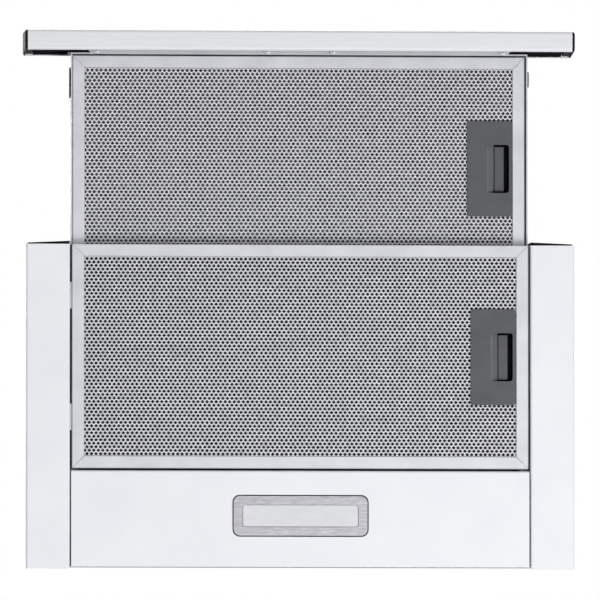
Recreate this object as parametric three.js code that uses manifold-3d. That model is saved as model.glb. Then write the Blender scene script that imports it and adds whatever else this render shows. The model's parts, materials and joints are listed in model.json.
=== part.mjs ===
// A pull-out range hood, 50 cm class, with its drawer pulled fully out.
// Millimetres. x runs to the user's right, y from the user to the wall, z up. The origin is on the top
// face of the lower case, where the cabinet sits on it.
import * as THREE from 'three';
import { mergeVertices } from 'three/addons/utils/BufferGeometryUtils.js';
import Module from 'manifold-3d';

const wasm = await Module();
wasm.setup();

// ---- Driving dimensions -------------------------------------------------------------------------

// Whole hood
const bodyWidth = 497;
const bodyDepth = 293.3;
const lowerHeight = 46;
const upperHeight = 112;
const upperWidth = 400;
const upperRearInset = 9;
const seatSetback = 20; // from the body's front edge back to the origin
const seatLedge = 42; // from the body's front edge back to the upper case
const cabinetInnerWidth = 464;
const cabinetPlay = 0.5; // between a bracket and the cabinet's wall
const fitGap = 0.3; // between pieces that seat on each other

// Sheet metal
const caseSheet = 1.2;
const panelSheet = 1.0;
const bendRadius = 1.8; // at the sheet's middle
const caseInset = 2.4; // the case's walls stand this far inside the panels' edges
const platformRise = 1.6; // the field pressed up inside the cabinet's walls, which carries the upper case
const platformCorner = 10;
const platformMargin = 2; // ahead of the upper case's flange
const platformInset = 16.8; // from the body's ends, which stay flat under the cabinet's walls

// Side panels and rear panel
const sidePanelWidth = 39.9;
const sideLipHeight = 11.5;
const outerLipHeight = 5;
const rearPanelGap = 1.9; // from the rear filter to the rear panel
const rearPanelSideGap = 1.0;
const rearPanelInset = 1.8; // short of the side panels' rear edges
const rearLipHeight = 10;

// Front trims on the side panels
const trimDepthInner = 2.8;
const trimDepthOuter = 1.2;
const trimHeight = 40.3;
const trimPegDepth = 9;
const trimPegWidth = 12;
const trimPegHeight = 12; // above the underside
const trimEndInset = 1.8; // short of the side panels' outer edges
const trimInnerInset = 0.2; // outside the side panels' lips

// Lamp
const lampWidth = 121.5;
const lampDepth = 36;
const lampCorner = 6;
const lampReveal = 0.9;
const lampForward = 2.7; // ahead of the rear panel's middle
const lensWidth = 105;
const lensDepth = 20;
const lensCorner = 2.5;
const bezelHeight = 1.2;
const bezelProud = 0.2;
const lensFlange = 3;
const lampHousingRim = 4;
const lampHousingHeight = 10;
const ledBoardLength = 96;
const ledBoardDepth = 12;
const ledCount = 6;
const ledSize = 3.5;

// Drawer
const drawerTravel = 172;
const closedGap = 1.0; // between the bar and the trims when the drawer is shut
const drawerWallInset = 2.6; // drawer wall's inner face inside the side panel's lip
const drawerSheet = 1.2;
const drawerBottom = 12.3; // above the underside
const drawerTop = 39;
const shoulderHeight = 24.2; // above the underside; the walls step in here, over the filter
const shoulderDepth = 9.5;
const glideHeight = 7;
const glideLow = 14.5; // above the underside
const glideThickness = 1.0;
const glidePin = 1.9;
const glidePlaces = { left: [13.3, 28], right: [15.6, 14] }; // from the drawer's front wall, and length
const flangeInset = 17; // from the drawer wall's inner face
const flangeFlare = 4;
const flangeDepth = 14;
const wallBehindBar = 1.9;
const filterFrontGap = 1.3;
const crossBarDepth = 9;
const crossBarHeight = 10;
const rearFoldHeight = 5;
const rearFoldInset = 8;

// Front bar
const barOverhang = 0.75; // past the body at each end
const barDepth = 18;
const barTopDepth = 21.4;
const barHeight = 42;
const barHem = 4.5;
const capThickness = 2.25;
const capCrown = 0.8;
const capPlug = 6;
const carrierWeb = 2;
const carrierArm = 1.8;
const carrierRibHeight = 13.8;
const carrierRib = 2.2;

// Push buttons in the bar
const buttonCount = 4;
const buttonWidth = 13.4;
const buttonHeight = 7.4;
const buttonPitch = 22;
const buttonProud = 1.5;
const buttonTravel = 2.5;
const buttonPlay = 0.3;
const buttonRowFromEnd = 100; // from the bar's right end to the middle of the row
const buttonRowZ = 27; // above the underside
const switchDepth = 12;
const switchHeight = 21;

// Screws that hold the bar to the drawer's flange
const screwHole = 2.0;
const screwFromFlangeEnd = 4.5;
const screwInnerX = 30;
const screwBehindBar = 0.9; // the heads' middles lie this far in front of the bar's rear edge

// Slide rails, a slim ball-bearing pair on each side
const railHeight = 17;
const railBottom = 25.3; // above the underside
const railSheet = 1.1;
const railDepth = 12.6; // from the drawer's upper wall to the outer rail's back
const railLip = 2.6;
const railLipGap = 1.2; // from the inner rail's web to the outer rail's lips
const innerRailSheet = 1.0;
const innerRailWidth = 8.4;
const railEndRoom = 34.6; // behind the inner rail when the drawer is shut
const ballRadius = 1.8;
const ballRoom = 4.3; // between the two rails' flanges
const ballCount = 4;
const ballPitch = 18;
const cageLength = 74;
const cageSheet = 0.7;
const bracketFoot = 16;

// Grease filters
const filterDepth = 202.5;
const filterHeight = 9;
const rearFilterGap = 1.85; // on each side
const frontFilterGap = 0.9; // on each side, with the filter in the middle
const frontFilterShift = -0.5; // pushed against its tabs
const filterBorder = 11;
const filterWall = 1.0;
const rearFilterLevel = 0.4; // above the underside
const frontFilterLevel = 14;
const filterPivotHeight = 3.5;
const mitreGroove = 0.35;
const tabLength = 24;
const tabEngage = 0.75; // share of the wall's sheet that a tab goes through
const tabSheet = 1.2;
const tabSwingRoom = 2.6; // above a tab, where it tips as the filter swings down
const tabSpacing = 110;
const meshLower = 1.3;
const meshUpper = 7.7;
const grilleColumns = 8;
const grilleRows = 4;
const grilleWeb = 4.5;

// Filter latch
const plateLength = 86.5;
const plateWidth = 41;
const plateSheet = 1.0;
const recessLength = 43.6;
const recessWidth = 19.9;
const recessMargin = 2.9; // from the plate's right edge to the recess
const bandWidth = 6.8;
const latchFloor = 6.2; // above the filter's lower face
const latchSheet = 1.2;
const latchFloorEnd = 4.2; // from the floor's right end to the recess's right edge
const tongueWidth = 16;
const rearTongueShort = 0.5; // the rear tongue stops this far from the wall that keeps it
const trayWall = 1.3;
const springRoom = 13;
const sliderOverlap = 1.8; // the slider reaches this far behind the plate, left of the recess

// Upper case
const upperCorner = 8;
const upperFlange = 9;
const beadWidth = 8;
const beadHeight = 0.8;
const beadSpread = 125;
const beadFromFront = 25;
const beadFromRear = 50;
const bracketLength = 60;
const bracketHeight = 45;
const bracketSheet = 1.5;
const bracketSlotLength = 14;
const bracketSlotWidth = 5.4;
const bracketSlotFromTop = 8;

// Blower
const impellerRadius = 52;
const impellerHeight = 50;
const bladeCount = 20;
const bladeDepth = 11;
const bladeSheet = 1.2;
const impellerGap = 4;
const scrollGrowth = 20;
const scrollWall = 2;
const scrollHeight = 84;
const scrollCaseGap = 3; // from the upper case's wall
const scrollFloorZ = 3;
const coverSheet = 2;
const inletRadius = 43;
const inletFlare = 7;
const inletHeight = 20;
const rimHeight = 3;
const impellerFloor = 4; // from the inlet ring up to the impeller
const impellerForward = 15; // of the upper case's middle

// Motors
const motorRadius = 34;
const motorBelow = 28; // under the scroll cover
const motorAbove = 16;
const motorFlange = 10;
const motorBoss = 12;
const shaftRadius = 4;
const shaftBelow = 16; // under the motor
const shaftInside = 10;
const shaftGap = 0.3;
const domeGap = 3;
const hubRadius = 9;
const hubHeight = 12;

// Outlet
const outletRadius = 59.5; // takes a 120 mm duct
const outletWall = 1.8;
const outletHeight = 22;
const outletFlange = 13;
const outletFlangeSheet = 1.5;
const spigotDepth = 8;
const flapLedge = 2.6;
const flapSheet = 1.2;
const flapEdgeGap = 2.2;
const flapPinRadius = 1.5;
const flapPinRise = 5; // from the outlet's flange up to the pin
const knuckleRadius = 3.2;
const knuckleCount = 4;
const knuckleSpan = 96;
const flapHingeGap = 0.5;
const flapRibStart = 10;
const flapRibHeight = 2;

// Electrical pieces
const capacitorRadius = 13;
const capacitorHeight = 52;
const capacitorX = -135;
const controlWidth = 130;
const controlHeight = 58;
const controlX = 0;
const controlWall = 2;
const controlClearance = 2; // from the box to the scroll
const lidPlug = 2;
const glandRadius = 8;
const glandX = 150;
const glandFromRear = 30;
const drawerSwitchX = 150;
const drawerSwitchWidth = 20;
const drawerSwitchDepth = 16;
const drawerSwitchHeight = 20;
const drawerSwitchSocket = 9;
const drawerSwitchPlug = 5; // of the plunger inside the switch
const plungerRadius = 2;
const plungerTravel = 3;
const plungerGap = 0.4; // from the shut drawer to the plunger

// ---- Derived places -----------------------------------------------------------------------------

const underside = -lowerHeight;
const level = (height) => underside + height;
const halfBody = bodyWidth / 2;
const bodyFront = -seatSetback;
const bodyRear = bodyFront + bodyDepth;
const innerHalf = halfBody - sidePanelWidth;
const caseHalf = halfBody - caseInset;
const caseRear = bodyRear - caseInset;
const barLength = bodyWidth + 2 * barOverhang;

const rearFilterY = bodyFront + filterDepth / 2;
const rearPanelFront = bodyFront + filterDepth + rearPanelGap;
const rearPanelRear = bodyRear - rearPanelInset;
const lampY = (rearPanelFront + rearPanelRear) / 2 - lampForward;

const barRear = bodyFront - trimDepthInner - closedGap - drawerTravel;
const barFront = barRear - barDepth;
const barTopRear = barFront + barTopDepth;
const wallFront = barRear + wallBehindBar;
const frontFilterFront = wallFront + drawerSheet + filterFrontGap;
const frontFilterY = frontFilterFront + filterDepth / 2;
const crossBarFront = frontFilterFront + filterDepth + 2 * fitGap;
const drawerRear = crossBarFront + crossBarDepth + 1;
const drawerInner = innerHalf - drawerWallInset;
const drawerOuter = drawerInner + drawerSheet;
const flangeHalf = drawerInner - flangeInset;
const screwOuterX = flangeHalf - screwFromFlangeEnd;
const screwY = barRear - screwBehindBar;

const innerRailFront = wallFront + 2;
const innerRailRear = caseRear - railEndRoom - drawerTravel;
const outerRailFront = bodyFront + 2;
const outerRailRear = innerRailRear + drawerTravel + 3;
const railSeat = drawerOuter - shoulderDepth;
const railOuterFace = railSeat + railDepth;
const innerRailInset = railSheet + ballRoom;
const cageFront = outerRailFront + 4;

const upperHalf = upperWidth / 2;
const upperFront = bodyFront + seatLedge;
const upperRear = bodyRear - upperRearInset;
const platformHalf = halfBody - platformInset;
const platformFront = upperFront - upperFlange - platformMargin;
const onPlatform = platformRise + fitGap;
const underPlatform = platformRise - caseSheet - fitGap;
const scrollStart = impellerRadius + impellerGap;
const scrollEnd = scrollStart + scrollGrowth;
const impellerX = upperHalf - caseSheet - scrollCaseGap - scrollWall - scrollEnd;
const impellerY = (upperFront + upperRear) / 2 - impellerForward;
const chamberRadius = outletRadius - outletWall + 0.5;
const outletY = impellerY + scrollEnd - chamberRadius;
const coverZ = scrollFloorZ + scrollHeight + fitGap;
const inletTop = scrollFloorZ + inletHeight;
const impellerBottom = inletTop + impellerFloor;
const impellerTop = impellerBottom + impellerHeight;
const motorBottom = coverZ - motorBelow;

// ---- Tools --------------------------------------------------------------------------------------

// A closed three.js geometry as a solid, its faces turned outwards.
function solidOf(geometry) {
  const bare = geometry.clone();
  bare.deleteAttribute('normal');
  bare.deleteAttribute('uv');
  const merged = mergeVertices(bare, 1e-4);
  const places = merged.attributes.position;
  const corner = (i) => new THREE.Vector3().fromBufferAttribute(places, i);
  const faces = [];
  let volume = 0;
  for (let i = 0; i < merged.index.count; i += 3) {
    const [a, b, c] = [0, 1, 2].map((k) => merged.index.getX(i + k));
    if (a === b || b === c || c === a) continue;
    faces.push([a, b, c]);
    volume += corner(a).dot(corner(b).cross(corner(c)));
  }
  const outward = volume < 0 ? faces.map(([a, b, c]) => [a, c, b]) : faces;
  return new wasm.Manifold(new wasm.Mesh({
    numProp: 3,
    vertProperties: new Float32Array(places.array),
    triVerts: new Uint32Array(outward.flat()),
  }));
}

function geometryOf(solid) {
  const mesh = solid.getMesh();
  const geometry = new THREE.BufferGeometry();
  geometry.setAttribute('position', new THREE.BufferAttribute(mesh.vertProperties, 3));
  geometry.setIndex(new THREE.BufferAttribute(mesh.triVerts, 1));
  const flat = geometry.toNonIndexed();
  flat.computeVertexNormals();
  return flat;
}

const join = (first, ...rest) => rest.reduce((whole, piece) => whole.add(piece), first);
const cut = (first, ...tools) => tools.reduce((whole, tool) => whole.subtract(tool), first);

function block(x0, x1, y0, y1, z0, z1) {
  const geometry = new THREE.BoxGeometry(x1 - x0, y1 - y0, z1 - z0);
  return solidOf(geometry.translate((x0 + x1) / 2, (y0 + y1) / 2, (z0 + z1) / 2));
}

const shapeOf = (points) => new THREE.Shape(points.map(([a, b]) => new THREE.Vector2(a, b)));

// A rectangle with round corners.
function roundedRectangle(x0, x1, y0, y1, radius) {
  const shape = new THREE.Shape();
  shape.absarc(x1 - radius, y1 - radius, radius, 0, Math.PI / 2);
  shape.absarc(x0 + radius, y1 - radius, radius, Math.PI / 2, Math.PI);
  shape.absarc(x0 + radius, y0 + radius, radius, Math.PI, Math.PI * 1.5);
  shape.absarc(x1 - radius, y0 + radius, radius, Math.PI * 1.5, Math.PI * 2);
  shape.closePath();
  return shape;
}

function circle(x, y, radius) {
  const shape = new THREE.Shape();
  shape.absarc(x, y, radius, 0, Math.PI * 2);
  return shape;
}

// Shapes drawn in x and y, raised from z0 to z1.
function alongZ(shape, z0, z1, curveSegments = 3) {
  const geometry = new THREE.ExtrudeGeometry(shape, { depth: z1 - z0, bevelEnabled: false, curveSegments });
  return solidOf(geometry.translate(0, 0, z0));
}

// Shapes drawn in x and z, run from y0 to y1.
function alongY(shape, y0, y1, curveSegments = 3) {
  const geometry = new THREE.ExtrudeGeometry(shape, { depth: y1 - y0, bevelEnabled: false, curveSegments });
  return solidOf(geometry.rotateX(Math.PI / 2).translate(0, y1, 0));
}

// Shapes drawn in y and z, run from x0 to x1.
const yzToWorld = new THREE.Matrix4().makeBasis(
  new THREE.Vector3(0, 1, 0), new THREE.Vector3(0, 0, 1), new THREE.Vector3(1, 0, 0));
function alongX(shape, x0, x1, curveSegments = 3) {
  const geometry = new THREE.ExtrudeGeometry(shape, { depth: x1 - x0, bevelEnabled: false, curveSegments });
  return solidOf(geometry.applyMatrix4(yzToWorld).translate(x0, 0, 0));
}

// A profile of [radius, z] points turned about the vertical through x, y.
function turned(profile, x, y, segments = 32) {
  const closed = profile[0][0] === 0 ? profile : [...profile, profile[0]];
  const geometry = new THREE.LatheGeometry(closed.map(([r, z]) => new THREE.Vector2(r, z)), segments);
  return solidOf(geometry.rotateX(Math.PI / 2).translate(x, y, 0));
}

const drum = (x, y, radius, z0, z1, segments = 32) => (
  turned([[0, z0], [radius, z0], [radius, z1], [0, z1]], x, y, segments));

// The section of a folded sheet: a path along its middle, rounded at each bend, with its thickness.
function foldedSheet(path, sheet, radius = bendRadius, steps = 3) {
  const points = path.map(([a, b]) => new THREE.Vector2(a, b));
  const samples = [];
  const normalOf = (direction) => new THREE.Vector2(-direction.y, direction.x);
  points.forEach((point, i) => {
    const before = i > 0 ? point.clone().sub(points[i - 1]).normalize() : null;
    const after = i < points.length - 1 ? points[i + 1].clone().sub(point).normalize() : null;
    if (!before || !after) {
      samples.push([point, normalOf(before || after)]);
      return;
    }
    const turn = Math.atan2(before.cross(after), before.dot(after));
    const setback = radius * Math.tan(Math.abs(turn) / 2);
    const start = point.clone().addScaledVector(before, -setback);
    const centre = start.clone().addScaledVector(normalOf(before), Math.sign(turn) * radius);
    for (let k = 0; k <= steps; k += 1) {
      const angle = turn * k / steps;
      samples.push([
        start.clone().rotateAround(centre, angle),
        normalOf(before).rotateAround(new THREE.Vector2(), angle),
      ]);
    }
  });
  const side = (offset) => samples.map(([p, n]) => p.clone().addScaledVector(n, offset));
  return new THREE.Shape([...side(sheet / 2), ...side(-sheet / 2).reverse()]);
}

const mirrored = (path, side) => path.map(([a, b]) => [side * a, b]);

// A frame of one section, mitred at four corners. The section's points are [inset, z].
function mitredFrame(section, halfX, halfY) {
  const corners = [[-1, -1], [1, -1], [1, 1], [-1, 1]];
  const places = corners.flatMap(([sx, sy]) => (
    section.map(([inset, z]) => [sx * (halfX - inset), sy * (halfY - inset), z])));
  const count = section.length;
  const faces = corners.flatMap((_, c) => section.flatMap((__, k) => {
    const [a, b] = [c * count + k, c * count + (k + 1) % count];
    const next = ((c + 1) % 4) * count;
    const [d, e] = [next + k, next + (k + 1) % count];
    return [a, d, b, b, d, e];
  }));
  const geometry = new THREE.BufferGeometry();
  geometry.setAttribute('position', new THREE.Float32BufferAttribute(places.flat(), 3));
  geometry.setIndex(faces);
  return solidOf(geometry);
}

const finishes = {
  whitePaint: { color: 0xe9ebf0, roughness: 0.45, metalness: 0.0 },
  greyPaint: { color: 0xc3c6cb, roughness: 0.5, metalness: 0.1 },
  zincSteel: { color: 0xb5b9bd, roughness: 0.4, metalness: 0.8 },
  blackPlastic: { color: 0x17181a, roughness: 0.55, metalness: 0.0 },
  darkPlastic: { color: 0x5c5f62, roughness: 0.5, metalness: 0.0 },
  whitePlastic: { color: 0xe4e4e0, roughness: 0.5, metalness: 0.0 },
  aluminium: { color: 0xd2d4d8, roughness: 0.35, metalness: 0.9 },
  brushedSteel: { color: 0xc6c8cc, roughness: 0.3, metalness: 1.0 },
  milkyLens: { color: 0xe6e8ea, roughness: 0.3, metalness: 0.0 },
  boardGreen: { color: 0x2f6b45, roughness: 0.6, metalness: 0.0 },
};

const hood = new THREE.Group();

function addPiece(name, solid, finish, group = hood) {
  const mesh = new THREE.Mesh(geometryOf(solid), new THREE.MeshStandardMaterial(finishes[finish]));
  mesh.name = name;
  group.add(mesh);
}

const sides = [['left', -1], ['right', 1]];

// ---- Fixed body, lower part -----------------------------------------------------------------------

// Where the two filters sit. The wall beside each has its inner face at wallX and this sheet.
const filters = {
  rear: {
    half: innerHalf - rearFilterGap, x: 0, y: rearFilterY, z: level(rearFilterLevel),
    wallX: innerHalf, wallSheet: panelSheet, tongueEnd: innerHalf - rearTongueShort,
  },
  front: {
    half: drawerInner - frontFilterGap, x: frontFilterShift, y: frontFilterY, z: level(frontFilterLevel),
    wallX: drawerInner, wallSheet: drawerSheet, tongueEnd: drawerInner + tabEngage * drawerSheet,
  },
};

// The left wall takes a filter's two tabs, the right wall has the slot that keeps its latch.
function filterSlots(side, { wallX, wallSheet, y, z }) {
  const [x0, x1] = [side * (wallX - 1), side * (wallX + wallSheet + 1)].sort((a, b) => a - b);
  const slot = (middle, low, length, height) => (
    block(x0, x1, middle - length / 2, middle + length / 2, low, low + height));
  const tabLow = z + filterPivotHeight - tabSheet / 2 - fitGap;
  if (side < 0) {
    return [-1, 1].map((end) => (
      slot(y + end * tabSpacing / 2, tabLow, tabLength + 2, tabSheet + tabSwingRoom)));
  }
  return [slot(y, z + latchFloor - fitGap, tongueWidth + 2, latchSheet + 2 * fitGap)];
}

// A tray with its rear wall, and in its top the raised field between the cabinet's walls.
function buildLowerCase() {
  const wallX = caseHalf - caseSheet / 2;
  const foot = level(panelSheet) + fitGap;
  const tray = alongY(foldedSheet(
    [[-wallX, foot], [-wallX, -caseSheet / 2], [wallX, -caseSheet / 2], [wallX, foot]], caseSheet),
    bodyFront, caseRear);
  const rearWall = block(-wallX, wallX, caseRear - caseSheet, caseRear, foot, -caseSheet / 2);
  const field = (inset, z0, z1) => cut(
    alongZ(roundedRectangle(-platformHalf + inset, platformHalf - inset, platformFront + inset,
      caseRear + 2 * platformCorner, platformCorner - inset), z0, z1),
    block(-bodyWidth, bodyWidth, caseRear - inset, caseRear + bodyDepth, z0 - 1, z1 + 1));
  const raised = field(0, -caseSheet, platformRise);
  const hollow = field(caseSheet, -caseSheet - 1, platformRise - caseSheet);
  const inlets = sides.map(([, side]) => (
    drum(side * impellerX, impellerY, inletRadius + inletFlare, -2 * caseSheet, platformRise + 1, 24)));
  addPiece('lower_case', cut(join(tray, rearWall, raised), hollow, ...inlets), 'greyPaint');
}

function buildSidePanels() {
  const lipX = innerHalf + panelSheet / 2;
  const edgeX = halfBody - panelSheet / 2;
  const flat = level(panelSheet / 2);
  const path = [[lipX, level(sideLipHeight)], [lipX, flat], [edgeX, flat], [edgeX, level(outerLipHeight)]];
  sides.forEach(([name, side]) => {
    const panel = alongY(foldedSheet(mirrored(path, side), panelSheet), bodyFront, bodyRear);
    const slots = filterSlots(side, filters.rear);
    const [n0, n1] = [side * (innerHalf - 1), side * (innerHalf + 2 * bendRadius)].sort((a, b) => a - b);
    const notch = block(n0, n1, caseRear - caseSheet - fitGap, bodyRear + 1,
      level(panelSheet), level(sideLipHeight + 1));
    addPiece(`side_panel_${name}`, cut(panel, ...slots, notch), 'whitePaint');
  });
}

function buildFrontTrims() {
  const inner = innerHalf + trimInnerInset;
  const outer = halfBody - trimEndInset;
  const back = bodyFront - fitGap;
  sides.forEach(([name, side]) => {
    const plan = shapeOf(mirrored([
      [inner, back], [outer, back], [outer, bodyFront - trimDepthOuter],
      [inner, bodyFront - trimDepthInner],
    ], side));
    const face = alongZ(plan, level(fitGap), level(trimHeight));
    const pegX = side * (inner + outer) / 2;
    const peg = block(pegX - trimPegWidth / 2, pegX + trimPegWidth / 2, back - 0.5, back + trimPegDepth,
      level(panelSheet + fitGap), level(trimPegHeight));
    addPiece(`front_trim_${name}`, join(face, peg), 'blackPlastic');
  });
}

function buildRearPanel() {
  const half = innerHalf - rearPanelSideGap;
  const lipY = rearPanelFront + panelSheet / 2;
  const flat = level(panelSheet / 2);
  const path = [[lipY, level(rearLipHeight)], [lipY, flat], [rearPanelRear, flat]];
  const panel = alongX(foldedSheet(path, panelSheet), -half, half);
  const opening = alongZ(roundedRectangle(
    -lampWidth / 2 - lampReveal, lampWidth / 2 + lampReveal,
    lampY - lampDepth / 2 - lampReveal, lampY + lampDepth / 2 + lampReveal,
    lampCorner + lampReveal), level(-1), level(panelSheet + 1));
  addPiece('rear_panel', cut(panel, opening), 'whitePaint');
}

const aboutLamp = (width, depth, corner) => roundedRectangle(
  -width / 2, width / 2, lampY - depth / 2, lampY + depth / 2, corner);

function buildLamp() {
  const bezelTop = level(bezelHeight - bezelProud);
  const bezel = alongZ(aboutLamp(lampWidth, lampDepth, lampCorner), level(-bezelProud), bezelTop);
  const window = alongZ(aboutLamp(lensWidth, lensDepth, lensCorner), level(-2), level(4));
  addPiece('lamp_bezel', cut(bezel, window), 'brushedSteel');

  const lensBottom = level(-bezelProud) + fitGap;
  const flangeBottom = bezelTop + fitGap;
  const lens = alongZ(aboutLamp(lensWidth - 2 * fitGap, lensDepth - 2 * fitGap, lensCorner - fitGap),
    lensBottom, flangeBottom + 1);
  const flange = alongZ(aboutLamp(lensWidth + 2 * lensFlange, lensDepth + 2 * lensFlange, lensCorner),
    flangeBottom, flangeBottom + 1.5);
  addPiece('lamp_lens', join(lens, flange), 'milkyLens');

  const housingBottom = level(panelSheet) + fitGap;
  const housingTop = housingBottom + lampHousingHeight;
  const outerWidth = lampWidth + 2 * (lampReveal + lampHousingRim);
  const outerDepth = lampDepth + 2 * (lampReveal + lampHousingRim);
  const cavityWidth = lensWidth + 2 * lensFlange + 2 * fitGap;
  const cavityDepth = lensDepth + 2 * lensFlange + 2 * fitGap;
  const housing = alongZ(aboutLamp(outerWidth, outerDepth, lampCorner), housingBottom, housingTop);
  const cavity = alongZ(aboutLamp(cavityWidth, cavityDepth, lensCorner), housingBottom - 1,
    housingTop - caseSheet);
  addPiece('lamp_housing', cut(housing, cavity), 'whitePlastic');

  const boardTop = housingTop - caseSheet - fitGap;
  const board = alongZ(aboutLamp(ledBoardLength, ledBoardDepth, 1), boardTop - 1.6, boardTop);
  const chips = Array.from({ length: ledCount }, (_, i) => {
    const x = (i - (ledCount - 1) / 2) * ledBoardLength / ledCount;
    return block(x - ledSize / 2, x + ledSize / 2, lampY - ledSize / 2, lampY + ledSize / 2,
      boardTop - 2.4, boardTop - 1);
  });
  addPiece('led_board', join(board, ...chips), 'boardGreen');
}

// ---- Slide rails ----------------------------------------------------------------------------------

function buildRails() {
  const webX = railOuterFace - railSheet / 2;
  const lipX = railSeat + fitGap + innerRailSheet + railLipGap + railSheet / 2;
  const low = level(railBottom + railSheet / 2);
  const high = level(railBottom + railHeight - railSheet / 2);
  const outerPath = [[lipX, low + railLip], [lipX, low], [webX, low], [webX, high], [lipX, high],
    [lipX, high - railLip]];

  const innerWebX = railSeat + fitGap + innerRailSheet / 2;
  const innerTip = innerWebX + innerRailWidth - innerRailSheet / 2;
  const innerLow = level(railBottom + innerRailInset + innerRailSheet / 2);
  const innerHigh = level(railBottom + railHeight - innerRailInset - innerRailSheet / 2);
  const innerPath = [[innerTip, innerLow], [innerWebX, innerLow], [innerWebX, innerHigh],
    [innerTip, innerHigh]];

  const armLow = level(railBottom + railSheet + ballRoom / 2);
  const armHigh = level(railBottom + railHeight - railSheet - ballRoom / 2);
  const cageWebX = webX - railSheet / 2 - 1.1 - cageSheet / 2;
  const armTip = lipX + railSheet / 2 + 1;
  const cagePath = [[armTip, armLow], [cageWebX, armLow], [cageWebX, armHigh], [armTip, armHigh]];
  const ballX = (armTip + cageWebX) / 2;

  const footZ = underPlatform - caseSheet / 2;
  const postX = railOuterFace + fitGap + caseSheet / 2;
  const bracketFront = platformFront + platformCorner;
  const bracketPath = [[postX, level(railBottom - 1)], [postX, footZ], [postX + bracketFoot, footZ]];

  sides.forEach(([name, side]) => {
    const section = (path, sheet, radius) => foldedSheet(mirrored(path, side), sheet, radius);
    addPiece(`outer_rail_${name}`,
      alongY(section(outerPath, railSheet, 1.5), outerRailFront, outerRailRear), 'zincSteel');
    addPiece(`rail_bracket_${name}`,
      alongY(section(bracketPath, caseSheet, bendRadius), bracketFront, outerRailRear), 'greyPaint');
    addPiece(`inner_rail_${name}`,
      alongY(section(innerPath, innerRailSheet, 1.2), innerRailFront, innerRailRear), 'zincSteel');
    const strip = alongY(section(cagePath, cageSheet, 1), cageFront, cageFront + cageLength);
    const balls = Array.from({ length: ballCount }, (_, i) => {
      const y = cageFront + cageLength / 2 + (i - (ballCount - 1) / 2) * ballPitch;
      return [armLow, armHigh].map((z) => (
        solidOf(new THREE.SphereGeometry(ballRadius, 6, 3).translate(side * ballX, y, z))));
    });
    addPiece(`ball_cage_${name}`, join(strip, ...balls.flat()), 'zincSteel');
  });
}

// ---- Drawer ---------------------------------------------------------------------------------------

// The drawer's section is wide at the filter and steps in above it, where the rails lie.
function buildDrawer() {
  const wallX = drawerOuter - drawerSheet / 2;
  const upperX = railSeat - drawerSheet / 2;
  const topZ = level(drawerTop) - drawerSheet / 2;
  const bottom = level(drawerBottom);
  const step = level(shoulderHeight);
  const half = [[upperX, topZ], [upperX, step], [wallX, step], [wallX, bottom]];
  const shell = alongY(foldedSheet([...mirrored(half, -1).reverse(), ...half], drawerSheet, 1.2),
    wallFront, drawerRear);
  const frontWall = block(-wallX, wallX, wallFront, wallFront + drawerSheet, bottom, topZ);
  const flangeFront = wallFront - flangeDepth;
  const flange = alongZ(shapeOf([
    [-flangeHalf, wallFront + drawerSheet / 2], [flangeHalf, wallFront + drawerSheet / 2],
    [flangeHalf + flangeFlare, wallFront - flangeFlare], [flangeHalf + flangeFlare, flangeFront],
    [-flangeHalf - flangeFlare, flangeFront], [-flangeHalf - flangeFlare, wallFront - flangeFlare],
  ]), bottom, bottom + drawerSheet);
  const foldX = upperX - rearFoldInset;
  const rearFold = block(-foldX, foldX, drawerRear - drawerSheet, drawerRear, topZ - rearFoldHeight, topZ);
  const screwHoles = screwPlaces().map((x) => (
    drum(x, screwY, screwHole, bottom - 1, bottom + drawerSheet + 1, 8)));
  const slots = sides.flatMap(([, side]) => filterSlots(side, filters.front));
  const pinHoles = sides.map(([name, side]) => glidePinSolid(name, side, glidePin + fitGap, 2));
  const holes = [...screwHoles, ...slots, ...pinHoles];
  addPiece('drawer_shell', cut(join(shell, frontWall, flange, rearFold), ...holes), 'greyPaint');

  sides.forEach(([name, side]) => {
    const [y0, length] = glidePlaces[name];
    const near = drawerOuter + fitGap;
    const [x0, x1] = [side * near, side * (near + glideThickness)].sort((a, b) => a - b);
    const outline = roundedRectangle(wallFront + y0, wallFront + y0 + length, level(glideLow),
      level(glideLow + glideHeight), glideHeight / 2 - 0.2);
    const pad = alongX(outline, x0, x1, 4);
    addPiece(`drawer_glide_${name}`, join(pad, glidePinSolid(name, side, glidePin, 0)), 'blackPlastic');
  });

  const barHalf = drawerInner - fitGap;
  const lipY = crossBarFront + panelSheet / 2;
  const flat = level(drawerBottom + panelSheet / 2);
  const barPath = [[lipY, flat + crossBarHeight], [lipY, flat], [lipY + crossBarDepth, flat]];
  addPiece('drawer_cross_bar', alongX(foldedSheet(barPath, panelSheet), -barHalf, barHalf), 'greyPaint');
}

// The pin that holds a glide pad in the drawer's wall, or with more reach the hole for it.
function glidePinSolid(name, side, radius, reach) {
  const [y0, length] = glidePlaces[name];
  const pin = circle(wallFront + y0 + length / 2, level(glideLow + glideHeight / 2), radius);
  const [x0, x1] = [drawerInner + fitGap - reach, drawerOuter + fitGap + glideThickness / 2];
  return alongX(pin, ...[side * x0, side * x1].sort((a, b) => a - b), 3);
}

const screwPlaces = () => [-screwOuterX, -screwInnerX, screwInnerX, screwOuterX];

const buttonPlaces = () => Array.from({ length: buttonCount }, (_, i) => (
  barLength / 2 - buttonRowFromEnd + (i - (buttonCount - 1) / 2) * buttonPitch));

// A hole of the button's outline with some play, run through from y0 to y1.
const buttonHole = (x, play, y0, y1) => block(
  x - buttonWidth / 2 - play, x + buttonWidth / 2 + play, y0, y1,
  level(buttonRowZ - buttonHeight / 2 - play), level(buttonRowZ + buttonHeight / 2 + play));

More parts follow.
